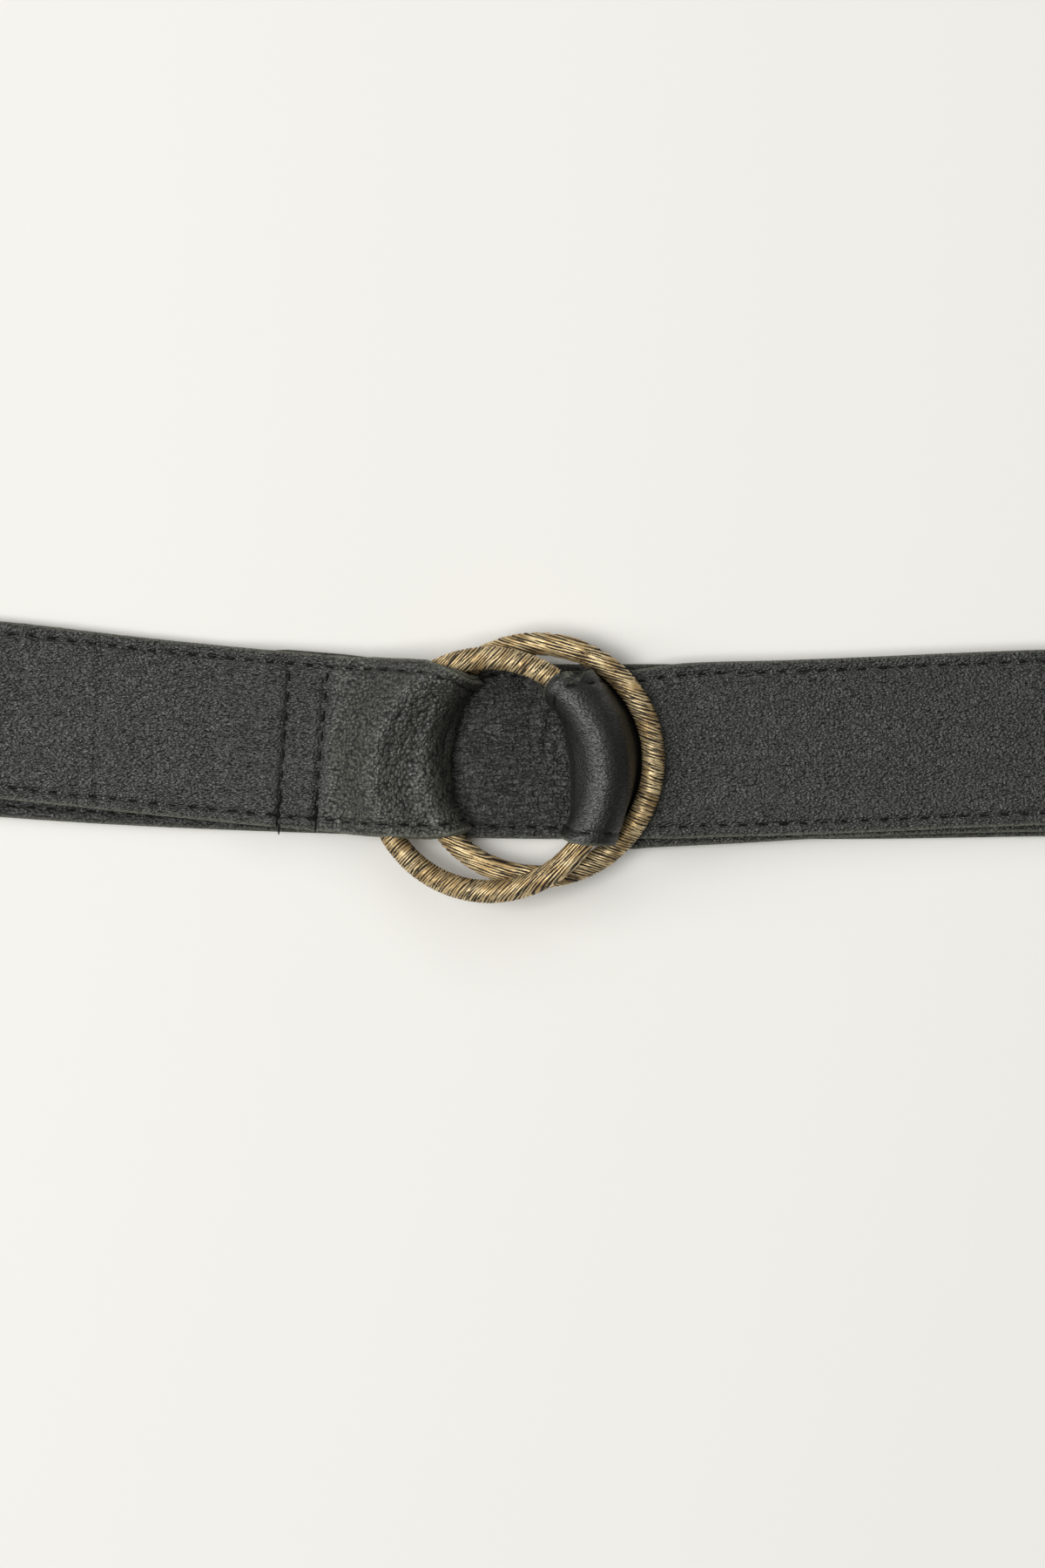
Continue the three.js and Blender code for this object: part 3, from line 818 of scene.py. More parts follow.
@dataclass
class Relief:
    """How far each leather layer stands proud of its plain surface."""

    form: StrapForm

    def __post_init__(self) -> None:
        """Keeps the coordinates that all the relief reads."""
        self.x = self.form.points[..., 0]
        self.y = self.form.points[..., 1]
        self.v = self.form.across[None, :]
        half = self.form.sizes.half
        self.from_row = (1 - np.abs(self.v)) * half - self.form.sizes.stitch_inset
        self.low_row = int(np.argmin(np.abs(self.form.across + self.row_share())))
        self.high_row = int(np.argmin(np.abs(self.form.across - self.row_share())))
        low, high = self.form.travel(self.low_row), self.form.travel(self.high_row)
        self.along = np.where(self.v < 0, low[:, None], high[:, None])

    def row_share(self) -> float:
        """Where an edge's stitch row lies, as a share of half the width."""
        return 1 - self.form.sizes.stitch_inset / self.form.sizes.half

    def edge_rows(self, depth: float) -> np.ndarray:
        """The groove of the edge stitching, puckered between stitches.

        Args:
            depth: Depth of the groove.

        Returns:
            The relief at each point.
        """
        pitch = self.form.sizes.stitch_pitch
        beat = 0.5 + 0.5 * np.cos(self.along * math.tau / pitch)
        groove = -depth * (1 - 0.4 * beat) * bump(self.from_row, 0.42)
        inside = 0.16 * (1 - 0.5 * beat) * bump(self.from_row - 1.35, 0.75)
        outside = 0.12 * (1 - 0.4 * beat) * bump(self.from_row + 1.2, 0.8)
        return groove + inside + outside

    def cross_row(self, top: Row, foot: Row) -> np.ndarray:
        """The groove of one row sewn across the loop, on the face side.

        Args:
            top: X and Y of the row's upper end.
            foot: X and Y of its lower end.

        Returns:
            The relief at each point.
        """
        run = np.array(foot) - np.array(top)
        length = float(np.hypot(*run))
        unit = run / length
        off_x, off_y = self.x - top[0], self.y - top[1]
        travelled = off_x * unit[0] + off_y * unit[1]
        aside = off_x * unit[1] - off_y * unit[0]
        there = smooth(-0.4, 0.2, travelled) * smooth(length + 0.4, length - 0.2, travelled)
        beat = 0.5 + 0.5 * np.cos(travelled * math.tau / CROSS_PITCH_MM)
        dip = -0.42 * (1 - 0.35 * beat) * bump(aside, 0.5)
        puff = 0.2 * (1 - 0.5 * beat) * (bump(aside - 1.5, 0.9) + bump(aside + 1.5, 0.9))
        top_side = self.form.within(Stretch.LOOP, Stretch.LEFT)
        return (dip + puff) * there * top_side

    def face(self) -> np.ndarray:
        """Relief of the face leather, in millimetres.

        Returns:
            The relief at each point.
        """
        x, y = self.x, self.y
        loop = smooth(-40, -31, x) * self.form.within(Stretch.LOOP, Stretch.FOLD)
        shown = self.form.within(Stretch.LOOP, Stretch.LEFT, Stretch.FOLD)
        rise = self.edge_rows(0.36)
        for top, foot in CROSS_ROWS:
            rise = rise + self.cross_row(top, foot)
        rise = rise + Marble(3).at(x / 9, y / 6) * 0.16 + Marble(4).at(x / 3.2, y / 2.6) * 0.05
        bend = Marble(7).at(x / 11, y / 11) * 2.0
        flow = Marble(8).at((x - 0.55 * y + bend) / 1.7, (y + 0.6 * x) / 7.5)
        dapple = Marble(9).at(x / 1.9, y / 2.2)
        rise = rise + loop * (0.17 * flow + 0.11 * dapple)
        fold = Marble(10).at((y - 0.35 * x) / 0.9, (x + 0.35 * y) / 3.0)
        rise = rise + 0.1 * fold * smooth(-84, -92, x) * self.form.within(Stretch.LEFT)
        pull = Marble(5).at(x / 6, y / 1.3) * bump(x + 41.5, 4.0) * 0.14
        between = 0.22 * bump(x + 40.8 + (y - 5) * -0.08, 2.6) * smooth(19.5, 16, np.abs(y - 5.5))
        line = x + 87.1 - 1.2 * Marble(6).at(y / 9, x * 0) - (y - 12) * 0.05
        crease = 0.13 * bump(line, 0.9) - 0.03 * bump(line - 1.6, 0.9)
        return rise + (pull + between + crease) * shown

    def lining(self) -> np.ndarray:
        """Relief of the lining leather, in millimetres.

        Returns:
            The relief at each point.
        """
        x, y = self.x, self.y
        rise = self.edge_rows(0.26)
        floor = self.form.within(Stretch.FLOOR) * bump(x - 5, 17)
        bow = Marble(12).at(x / 14, y / 9)
        arc = np.hypot(x - 40, y - 4)
        ripple = Marble(11).at(x / 5.5 + bow, y / 1.25 + bow * 1.4)
        hoop = Marble(13).at(arc / 1.5, np.arctan2(y - 4, x - 40) * 5)
        web = Marble(16).at(x / 1.6, y / 1.3)
        right = smooth(0, 9, x)
        rise = rise + floor * (0.19 * ripple * (1 - 0.4 * right) + 0.18 * hoop * right + 0.09 * web)
        free = self.form.within(Stretch.FREE)
        rise = rise + free * Marble(14).at(x / 12, y / 7) * 0.1
        over = self.form.within(Stretch.WRAP, Stretch.DROP)
        ridges = Marble(15).at(x / 1.9, y / 16) + 0.4 * Marble(17).at(x / 1.2, y / 5)
        rise = rise + over * ridges * 0.04
        return rise


CROSS_ROWS: tuple[tuple[Row, Row], ...] = (
    ((-43.4, 23.1), (-46.2, -12.6)),
    ((-35.2, 23.1), (-38.2, -12.0)),
)
BUNCHED: tuple[Row, ...] = ((0.9, 0.3), (2.4, -0.3), (3.9, 0.25), (5.6, -0.2), (7.4, 0.2))


# Finishes


class NodeBoard:
    """A material's node tree, written in short calls."""

    def __init__(self, name: str) -> None:
        """Starts a material with one principled shader.

        Args:
            name: The material's name.
        """
        self.material = bpy.data.materials.new(name)
        self.material.use_nodes = True
        self.tree = self.material.node_tree
        self.tree.nodes.clear()
        self.shader = self.add("ShaderNodeBsdfPrincipled")
        output = self.add("ShaderNodeOutputMaterial")
        self.join(self.shader.outputs["BSDF"], output.inputs["Surface"])

    def add(self, kind: str, **settings: object) -> bpy.types.Node:
        """Adds a node and sets its properties.

        Args:
            kind: Blender's name of the node type.
            settings: Properties to set on it.

        Returns:
            The node.
        """
        node = self.tree.nodes.new(kind)
        for key, value in settings.items():
            setattr(node, key, value)
        return node

    def join(self, source: Socket, target: Socket) -> None:
        """Links one socket to another."""
        self.tree.links.new(source, target)

    def feed(self, node: bpy.types.Node, key: str | int, value: object) -> None:
        """Sets an input to a number or links it to a socket.

        Args:
            node: The node.
            key: The input's name or number.
            value: A number, a colour or a socket.
        """
        if isinstance(value, bpy.types.NodeSocket):
            self.join(value, node.inputs[key])
        else:
            node.inputs[key].default_value = value

    def place(self) -> Socket:
        """Object coordinates."""
        return self.add("ShaderNodeTexCoord").outputs["Object"]

    def mark(self, name: str) -> Socket:
        """A number kept on the mesh's points."""
        return self.add("ShaderNodeAttribute", attribute_name=name).outputs["Fac"]

    def math(self, job: str, a: object, b: object = 0.0) -> Socket:
        """One step of arithmetic.

        Args:
            job: Blender's name of the step.
            a: First number or socket.
            b: Second number or socket.

        Returns:
            The result.
        """
        node = self.add("ShaderNodeMath", operation=job)
        self.feed(node, 0, a)
        self.feed(node, 1, b)
        return node.outputs[0]

    def span(
        self, value: object, low: float, high: float, to_low: float, to_high: float
    ) -> Socket:
        """Maps one range of numbers to another, held at its ends.

        Args:
            value: The number to map.
            low: Start of its range.
            high: End of its range.
            to_low: Result at the start.
            to_high: Result at the end.

        Returns:
            The result.
        """
        node = self.add("ShaderNodeMapRange", interpolation_type="SMOOTHSTEP")
        for key, item in enumerate((value, low, high, to_low, to_high)):
            self.feed(node, key, item)
        return node.outputs[0]

    def noise(
        self, scale: float, detail: float, where: object = None, rough: float = 0.5
    ) -> bpy.types.Node:
        """Noise of a scale in waves per metre.

        Args:
            scale: Waves per metre.
            detail: How many finer waves are added.
            where: Coordinates, the object's own if none are given.
            rough: Weight of the finer waves.

        Returns:
            The noise node.
        """
        node = self.add("ShaderNodeTexNoise")
        self.feed(node, "Vector", where or self.place())
        self.feed(node, "Scale", scale)
        self.feed(node, "Detail", detail)
        self.feed(node, "Roughness", rough)
        return node

    def weighed(self, *parts: tuple[Socket, float]) -> Socket:
        """Three numbers added, each times its weight.

        Args:
            parts: Pairs of a number and its weight.

        Returns:
            Their sum.
        """
        first, second, third = (self.math("MULTIPLY", value, share) for value, share in parts)
        return self.math("ADD", first, self.math("ADD", second, third))

    def blend(self, share: object, first: object, second: object) -> Socket:
        """Mixes two colours.

        Args:
            share: Share of the second colour.
            first: First colour.
            second: Second colour.

        Returns:
            The mixed colour.
        """
        node = self.add("ShaderNodeMix", data_type="RGBA")
        self.feed(node, 0, share)
        self.feed(node, 6, first)
        self.feed(node, 7, second)
        return node.outputs[2]

    def mix(self, share: object, first: object, second: object) -> Socket:
        """Mixes two numbers.

        Args:
            share: Share of the second number.
            first: First number.
            second: Second number.

        Returns:
            The mixed number.
        """
        node = self.add("ShaderNodeMix", data_type="FLOAT")
        self.feed(node, 0, share)
        self.feed(node, 2, first)
        self.feed(node, 3, second)
        return node.outputs[0]


def tone(red: float, green: float, blue: float) -> Tone:
    """A display colour, from 0 to 255, as the linear colour that nodes take.

    Args:
        red: Red, 0 to 255.
        green: Green, 0 to 255.
        blue: Blue, 0 to 255.

    Returns:
        The linear colour with full cover.
    """
    parts = []
    for part in (red, green, blue):
        c = part / 255
        parts.append(c / 12.92 if c <= 0.04045 else ((c + 0.055) / 1.055) ** 2.4)
    return (parts[0], parts[1], parts[2], 1.0)


@dataclass(frozen=True)
class Pebble:
    """Pebbled charcoal leather."""

    name: str
    coarse_mm: float
    fine_mm: float
    # Tones of the pebble tops and of the creases; the darker creases are painted shade.
    light: Tone
    dark: Tone
    depth_mm: float
    rough: float
    sheen: float
    # How much lighter the coarse loop is painted: a painted highlight standing in for its gloss.
    bold: float = 1.0

    def make(self) -> bpy.types.Material:
        """Builds the material.

        Returns:
            The material.
        """
        board = NodeBoard(self.name)
        place = board.place()
        warped = self.warp(board, place)
        grain = board.mark("grain")
        calm = board.mark("calm")
        height = self.relief(board, warped, grain)
        self.colour(board, place, height)
        tight = board.math("SUBTRACT", 1.0, board.math("MULTIPLY", calm, 0.75))
        swell = board.add("ShaderNodeBump")
        swell.inputs["Strength"].default_value = 1.0
        board.join(
            board.math("MULTIPLY", tight, self.depth_mm * MM), swell.inputs["Distance"]
        )
        board.join(height, swell.inputs["Height"])
        board.join(swell.outputs[0], board.shader.inputs["Normal"])
        board.shader.inputs["Specular IOR Level"].default_value = self.sheen
        return board.material

    def warp(self, board: NodeBoard, place: Socket) -> Socket:
        """Coordinates pushed about, so that no pebble is regular.

        Args:
            board: The node board.
            place: Object coordinates.

        Returns:
            The pushed coordinates.
        """
        wide = board.noise(300.0, 0.0, place)
        near = board.noise(1400.0, 0.0, place)
        first = board.add("ShaderNodeVectorMath", operation="MULTIPLY_ADD")
        board.join(wide.outputs["Color"], first.inputs[0])
        first.inputs[1].default_value = (0.0006, 0.0006, 0.0006)
        board.join(place, first.inputs[2])
        second = board.add("ShaderNodeVectorMath", operation="MULTIPLY_ADD")
        board.join(near.outputs["Color"], second.inputs[0])
        second.inputs[1].default_value = (0.0002, 0.0002, 0.0002)
        board.join(first.outputs[0], second.inputs[2])
        return second.outputs[0]

    def cells(self, board: NodeBoard, where: Socket, size_mm: float) -> Socket:
        """Domed pebbles parted by creases.

        Args:
            board: The node board.
            where: Coordinates.
            size_mm: Width of a pebble.

        Returns:
            Height, 1 at the middle of a pebble.
        """
        node = board.add("ShaderNodeTexVoronoi", feature="F1")
        board.feed(node, "Vector", where)
        board.feed(node, "Scale", 1 / (size_mm * MM))
        far = node.outputs["Distance"]
        fall = board.math("MULTIPLY", board.math("MULTIPLY", far, far), 1.7)
        return board.math("SUBTRACT", 1.0, fall)

    def lean(self, board: NodeBoard, where: Socket, x: float, y: float) -> Socket:
        """Coordinates squeezed along X or Y.

        Args:
            board: The node board.
            where: Coordinates.
            x: Factor along X.
            y: Factor along Y.

        Returns:
            The squeezed coordinates.
        """
        node = board.add("ShaderNodeVectorMath", operation="MULTIPLY")
        board.join(where, node.inputs[0])
        node.inputs[1].default_value = (x, y, 1.0)
        return node.outputs[0]

    def relief(self, board: NodeBoard, warped: Socket, grain: Socket) -> Socket:
        """Pebbles, finer pebbles and wrinkles, weighed by the coarseness mark.

        Args:
            board: The node board.
            warped: Pushed coordinates.
            grain: The coarseness mark.

        Returns:
            The grain's height.
        """
        coarse = self.cells(board, warped, self.coarse_mm)
        dashes = self.lean(board, warped, 0.7, 1.15)
        fine = self.cells(board, dashes, self.fine_mm)
        run = self.lean(board, warped, 0.55, 1.5)
        vein = board.noise(760.0, 2.0, run, 0.55).outputs[0]
        wrinkle = board.span(
            board.math("ABSOLUTE", board.math("SUBTRACT", vein, 0.5)), 0.0, 0.075, 0.0, 1.0
        )
        soft = board.noise(2100.0, 1.0, dashes, 0.5).outputs[0]
        plain = board.weighed((fine, 0.5), (wrinkle, 0.05), (soft, 0.7))
        bold = board.weighed((coarse, 0.6), (wrinkle, 0.14), (soft, 0.55))
        fold = board.noise(480.0, 2.0, self.lean(board, warped, 0.5, 1.7), 0.5).outputs[0]
        crease = board.span(
            board.math("ABSOLUTE", board.math("SUBTRACT", fold, 0.5)), 0.0, 0.06, -0.36, 0.0
        )
        folded = board.math("MULTIPLY", crease, board.mark("dull_and_shaded"))
        return board.math("ADD", board.mix(grain, plain, bold), folded)

    def colour(self, board: NodeBoard, place: Socket, height: Socket) -> None:
        """Charcoal, worn lighter in random patches, with painted shade in the creases, a painted
        highlight on the coarse loop, painted light that darkens it towards the upper edge, and
        painted shade in stitch rows, under the upper strap's edge and on the lining between the
        rings.

        Args:
            board: The node board.
            place: Object coordinates.
            height: The grain's height.
        """
        patch = board.noise(70.0, 3.0, place).outputs[0]
        # Painted shade: the creases are coloured darker than the pebble tops.
        leather = board.blend(board.span(height, 0.35, 1.0, 0.0, 1.0), self.dark, self.light)
        shade = board.add("ShaderNodeHueSaturation")
        board.feed(shade, "Color", leather)
        worn = board.span(patch, 0.35, 0.68, 0.86, 1.16)
        # Painted highlight: the coarse loop is coloured lighter, up to bold times.
        bold = board.span(board.mark("grain"), 0.5, 1.0, 1.0, self.bold)
        # Painted light: darker towards the strap's upper edge, lighter towards its lower edge.
        slope = board.span(board.mark("top"), 0.0, 1.0, 1.1, 0.82)
        # Painted shade on the lining's floor run and where it drops between the rings.
        shady = board.span(board.mark("dull_and_shaded"), 0.0, 1.0, 1.0, 0.7)
        lit = board.math("MULTIPLY", board.math("MULTIPLY", worn, shady), slope)
        board.feed(shade, "Value", board.math("MULTIPLY", lit, bold))
        # Painted shade in the stitch rows, on the lining under the upper strap's edge and between
        # the rings.
        deep = board.math("MULTIPLY", board.mark("painted_shade"), 0.75)
        dim = board.blend(deep, shade.outputs[0], tone(12, 12, 11))
        fray = board.noise(1500.0, 3.0, place).outputs[0]
        bare = board.math("MULTIPLY", board.mark("rim"), board.span(fray, 0.3, 0.6, 0.25, 0.8))
        board.join(
            board.blend(bare, dim, tone(104, 106, 94)), board.shader.inputs["Base Color"]
        )
        gloss = board.span(height, 0.3, 1.2, self.rough + 0.2, self.rough)
        gloss = board.math("ADD", gloss, board.math("MULTIPLY", board.mark("dull_and_shaded"), 0.07))
        board.join(board.mix(bare, gloss, 0.85), board.shader.inputs["Roughness"])


@dataclass(frozen=True)
class CutEdge:
    """The raw edge of a leather layer."""

    name: str = "cut_edge"

    def make(self) -> bpy.types.Material:
        """Builds the material.

        Returns:
            The material.
        """
        board = NodeBoard(self.name)
        place = board.place()
        fibre = board.noise(2600.0, 4.0, place).outputs[0]
        share = board.span(fibre, 0.35, 0.65, 0.0, 1.0)
        pale = board.blend(share, tone(66, 67, 60), tone(122, 124, 112))
        # Darker on the wrap and the drop, where the calm mark is high.
        darker_edge = board.span(board.mark("calm"), 0.25, 0.5, 0.0, 0.85)
        board.join(board.blend(darker_edge, pale, tone(22, 22, 20)), board.shader.inputs["Base Color"])
        board.shader.inputs["Roughness"].default_value = 0.85
        relief = board.add("ShaderNodeBump")
        relief.inputs["Strength"].default_value = 0.7
        relief.inputs["Distance"].default_value = 0.12 * MM
        board.join(fibre, relief.inputs["Height"])
        board.join(relief.outputs[0], board.shader.inputs["Normal"])
        return board.material


@dataclass(frozen=True)
class AntiqueBrass:
    """Engraved brass with dark patina in its grooves."""

    name: str
    stroke_angle: float

    def make(self) -> bpy.types.Material:
        """Builds the material.

        Returns:
            The material.
        """
        board = NodeBoard(self.name)
        place = board.place()
        groove = board.mark("groove")
        soot = board.noise(1100.0, 3.0, place).outputs[0]
        mottle = board.noise(260.0, 3.0, place).outputs[0]
        streak = board.noise(1.0, 2.0, self.along(board, place, 4.5, 0.24), 0.55).outputs[0]
        gold = board.blend(
            board.span(mottle, 0.35, 0.65, 0.0, 1.0), tone(184, 154, 106), tone(232, 208, 162)
        )
        scratch = board.math("MULTIPLY", board.math("SUBTRACT", streak, 0.5), 2.2)
        dust = board.math("MULTIPLY", board.math("SUBTRACT", soot, 0.5), 0.5)
        carved = board.math("MULTIPLY", groove, 0.72)
        tarnish = board.math("ADD", carved, board.math("ADD", scratch, dust))
        dark = board.span(tarnish, -0.02, 0.5, 0.0, 1.0)
        board.join(board.blend(dark, gold, tone(27, 19, 12)), board.shader.inputs["Base Color"])
        board.join(board.mix(dark, 0.42, 0.8), board.shader.inputs["Roughness"])
        board.join(board.mix(dark, 0.5, 0.1), board.shader.inputs["Metallic"])
        relief = board.add("ShaderNodeBump")
        relief.inputs["Strength"].default_value = 0.8
        relief.inputs["Distance"].default_value = 0.1 * MM
        board.join(board.math("SUBTRACT", 1.0, streak), relief.inputs["Height"])
        board.join(relief.outputs[0], board.shader.inputs["Normal"])
        return board.material

    def along(self, board: NodeBoard, place: Socket, long_mm: float, wide_mm: float) -> Socket:
        """Coordinates stretched along the engraved strokes.

        Args:
            board: The node board.
            place: Object coordinates.
            long_mm: Length of a stroke's grain.
            wide_mm: Width of a stroke's grain.

        Returns:
            The coordinates.
        """
        node = board.add("ShaderNodeMapping", vector_type="TEXTURE")
        board.join(place, node.inputs["Vector"])
        node.inputs["Rotation"].default_value = (0.0, 0.0, math.radians(self.stroke_angle))
        node.inputs["Scale"].default_value = (long_mm * MM, wide_mm * MM, 4.0 * MM)
        return node.outputs[0]


@dataclass(frozen=True)
class DarkThread:
    """Waxed charcoal thread."""

    name: str = "dark_thread"

    def make(self) -> bpy.types.Material:
        """Builds the material.

        Returns:
            The material.
        """
        board = NodeBoard(self.name)
        twist = board.noise(4200.0, 3.0).outputs[0]
        colour = board.blend(twist, tone(9, 9, 9), tone(24, 24, 23))
        board.join(colour, board.shader.inputs["Base Color"])
        board.shader.inputs["Roughness"].default_value = 0.9
        board.shader.inputs["Specular IOR Level"].default_value = 0.15
        relief = board.add("ShaderNodeBump")
        relief.inputs["Strength"].default_value = 0.6
        relief.inputs["Distance"].default_value = 0.08 * MM
        board.join(twist, relief.inputs["Height"])
        board.join(relief.outputs[0], board.shader.inputs["Normal"])
        return board.material


@dataclass(frozen=True)
class PalePaper:
    """The plain pale floor."""

    name: str = "pale_floor"

    def make(self) -> bpy.types.Material:
        """Builds the material.

        Returns:
            The material.
        """
        board = NodeBoard(self.name)
        board.shader.inputs["Base Color"].default_value = tone(231, 230, 229)
        board.shader.inputs["Roughness"].default_value = 0.9
        board.shader.inputs["Specular IOR Level"].default_value = 0.0
        return board.material


# Pieces


def clear_selection() -> None:
    """Deselects everything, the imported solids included."""
    if bpy.context.object and bpy.context.object.mode != "OBJECT":
        bpy.ops.object.mode_set(mode="OBJECT")
    bpy.ops.object.select_all(action="DESELECT")


def apply_all(piece: bpy.types.Object) -> None:
    """Applies a piece's modifiers in order.

    Args:
        piece: The piece.
    """
    clear_selection()
    bpy.context.view_layer.objects.active = piece
    piece.select_set(True)
    for modifier in list(piece.modifiers):
        bpy.ops.object.modifier_apply(modifier=modifier.name)


def keep_mark(mesh: bpy.types.Mesh, name: str, values: np.ndarray) -> None:
    """Keeps one number per point on a mesh.

    Args:
        mesh: The mesh.
        name: The mark's name.
        values: One number for each point.
    """
    mark = mesh.attributes.get(name) or mesh.attributes.new(name, "FLOAT", "POINT")
    mark.data.foreach_set("value", np.ascontiguousarray(values, dtype=np.float32).ravel())


@dataclass
class Origin:
    """Turns the belt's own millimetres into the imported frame's metres."""

    x: float
    y: float

    def metres(self, points: np.ndarray) -> np.ndarray:
        """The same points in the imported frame.

        Args:
            points: Points in millimetres from the middle of the front ring.

        Returns:
            The points in metres.
        """
        return points * MM + np.array([self.x, self.y, 0.0])


class Side(Enum):
    """The two leather layers."""

    FACE = 1
    LINING = -1


@dataclass
class LeatherLayer:
    """One of the strap's two leather layers."""

    side: Side
    form: StrapForm
    relief: Relief
    origin: Origin
    name: str
    node: str
    slot: str
    hidden_step: int = 3

    def surface(self) -> np.ndarray:
        """The layer's outer surface, in millimetres.

        Returns:
            A point for each section and station.
        """
        sizes = self.form.sizes
        rise = self.relief.face() if self.side is Side.FACE else self.relief.lining()
        away = sizes.thick / 2 + self.held(rise) + self.lip()
        return self.form.points + self.side.value * self.form.outward * away[..., None]

    def lip(self) -> np.ndarray:
        """How far the sewn edges curl up where the leather turns round a ring.

        Returns:
            The lift at each point, in millimetres.
        """
        x = self.form.points[..., 0]
        top = smooth(0.68, 1.0, self.form.across)[None, :]
        foot = smooth(-0.78, -1.0, self.form.across)[None, :]
        if self.side is Side.FACE:
            near = self.form.within(Stretch.LOOP) * smooth(-22, -9, x)
            return near * 0.25 * top
        turned = self.form.within(Stretch.WRAP) * smooth(9, 13, self.form.points[..., 2])
        return (turned + self.form.within(Stretch.DROP)) * (0.4 * top + 0.45 * foot)

    def held(self, rise: np.ndarray) -> np.ndarray:
        """Relief kept small where the layer lies on another one.

        Args:
            rise: The layer's relief.

        Returns:
            The relief that the layer can have where it lies.
        """
        close = self.form.within(Stretch.TAIL, Stretch.UNDER)
        floor = self.form.within(Stretch.FLOOR) if self.side is Side.FACE else 0.0
        limit = np.where(close + 0 * rise > 0, 0.08, 0.5)
        limit = np.where(floor + 0 * rise > 0, -0.01, limit)
        turned = self.form.within(Stretch.WRAP, Stretch.DROP)
        edge = 1 - 0.85 * turned * smooth(0.84, 0.95, np.abs(self.form.across))[None, :]
        return np.clip(rise, -0.5, limit) * edge

    def kept(self) -> np.ndarray:
        """The sections that this layer's mesh keeps, fewer where the layer is hidden.

        Returns:
            Numbers of the kept sections.
        """
        if self.side is Side.FACE:
            hidden = (Stretch.FLOOR, Stretch.WRAP, Stretch.DROP, Stretch.FREE)
        else:
            hidden = (Stretch.TAIL, Stretch.LOOP, Stretch.LEFT, Stretch.UNDER)
        thin = np.isin(self.form.zones, [z.value for z in hidden])
        count = len(self.form.zones)
        number = np.arange(count)
        turning = (number == 0) | (number == count - 1)
        return number[~thin | (number % self.hidden_step == 0) | turning]

    def grain(self) -> np.ndarray:
        """How coarse the leather's pebbles are, from 0 to 1; the face leather also paints its
        coarse loop lighter with it, a painted highlight.

        Returns:
            The mark at each point.
        """
        x, y = self.form.points[..., 0], self.form.points[..., 1]
        if self.side is Side.FACE:
            seam = -35.6 + (y - 5) * 0.083
            loop = smooth(-1.5, 2.5, x - seam) * self.form.within(Stretch.LOOP, Stretch.FOLD)
            return np.clip(0.04 + loop, 0, 1)
        floor = self.form.within(Stretch.FLOOR)
        return 0.25 + 0.3 * floor + 0 * x

    def calm(self) -> np.ndarray:
        """How far the pebbles are stretched flat, from 0 to 1; the cut edge is also darker where it
        is high.

        Returns:
            The mark at each point.
        """
        x, y = self.form.points[..., 0], self.form.points[..., 1]
        if self.side is Side.FACE:
            return 0.15 * self.form.within(Stretch.LEFT) + 0 * x
        tight = self.form.within(Stretch.WRAP, Stretch.DROP)
        floor = self.form.within(Stretch.FLOOR) * 0.2 * smooth(4, -8, x)
        return 0.6 * tight + floor + 0 * y

    def painted_shade(self) -> np.ndarray:
        """How much painted shade darkens the leather: in its stitch rows, on the lining under the
        lower edge of the strap above it, and where the lining drops between the rings.

        Returns:
            The mark at each point, from 0 to 1.
        """
        x, y = self.form.points[..., 0], self.form.points[..., 1]
        rows = bump(self.relief.from_row, 0.35) * 0.7 + 0 * x
        if self.side is Side.FACE:
            return rows
        half = self.form.sizes.half
        above = self.form.loop_middle.at(x) - half * self.form.loop_share.at(x)
        # Painted shadow on the floor run under the upper strap's lower edge.
        under = smooth(2.6, 0.2, above - y) * smooth(-36, -46, x)
        deep = np.maximum(rows, under * self.form.within(Stretch.FLOOR))
        # Painted shade where the lining drops between the rings.
        return np.maximum(deep, 0.8 * self.form.within(Stretch.DROP))

    def build(self, leather: bpy.types.Material, edge: bpy.types.Material) -> bpy.types.Object:
        """Builds the layer as a thin closed skin.

        Args:
            leather: The material of its surface.
            edge: The material of its cut edge.

        Returns:
            The finished piece.
        """
        kept = self.kept()
        surface = self.origin.metres(self.surface())[kept]
        surface[..., 2] = np.maximum(surface[..., 2], LEATHER_CLEAR_MM * MM)
        long_count, wide_count = surface.shape[:2]
        clear_selection()
        bpy.ops.mesh.primitive_grid_add(
            x_subdivisions=long_count - 1, y_subdivisions=wide_count - 1, size=2.0
        )
        piece = bpy.context.active_object
        piece.name = self.name
        mesh = piece.data
        flat = np.empty(len(mesh.vertices) * 3)
        mesh.vertices.foreach_get("co", flat)
        flat = flat.reshape(-1, 3)
        i = np.rint((flat[:, 0] + 1) / 2 * (long_count - 1)).astype(int)
        j = np.rint((flat[:, 1] + 1) / 2 * (wide_count - 1)).astype(int)
        mesh.vertices.foreach_set("co", surface[i, j].ravel())
        keep_mark(mesh, "grain", self.grain()[kept][i, j])
        keep_mark(mesh, "calm", self.calm()[kept][i, j])
        edge_near = 1 - smooth(0.15, 0.55, (1 - np.abs(self.form.across)) * self.form.sizes.half)
        keep_mark(mesh, "rim", edge_near[j])
        # Share across the strap, from its lower edge to its upper; the leather paints light with
        # it, darker towards the upper edge.
        keep_mark(mesh, "top", ((self.form.across + 1) / 2)[j])
        keep_mark(mesh, "painted_shade", self.painted_shade()[kept][i, j])
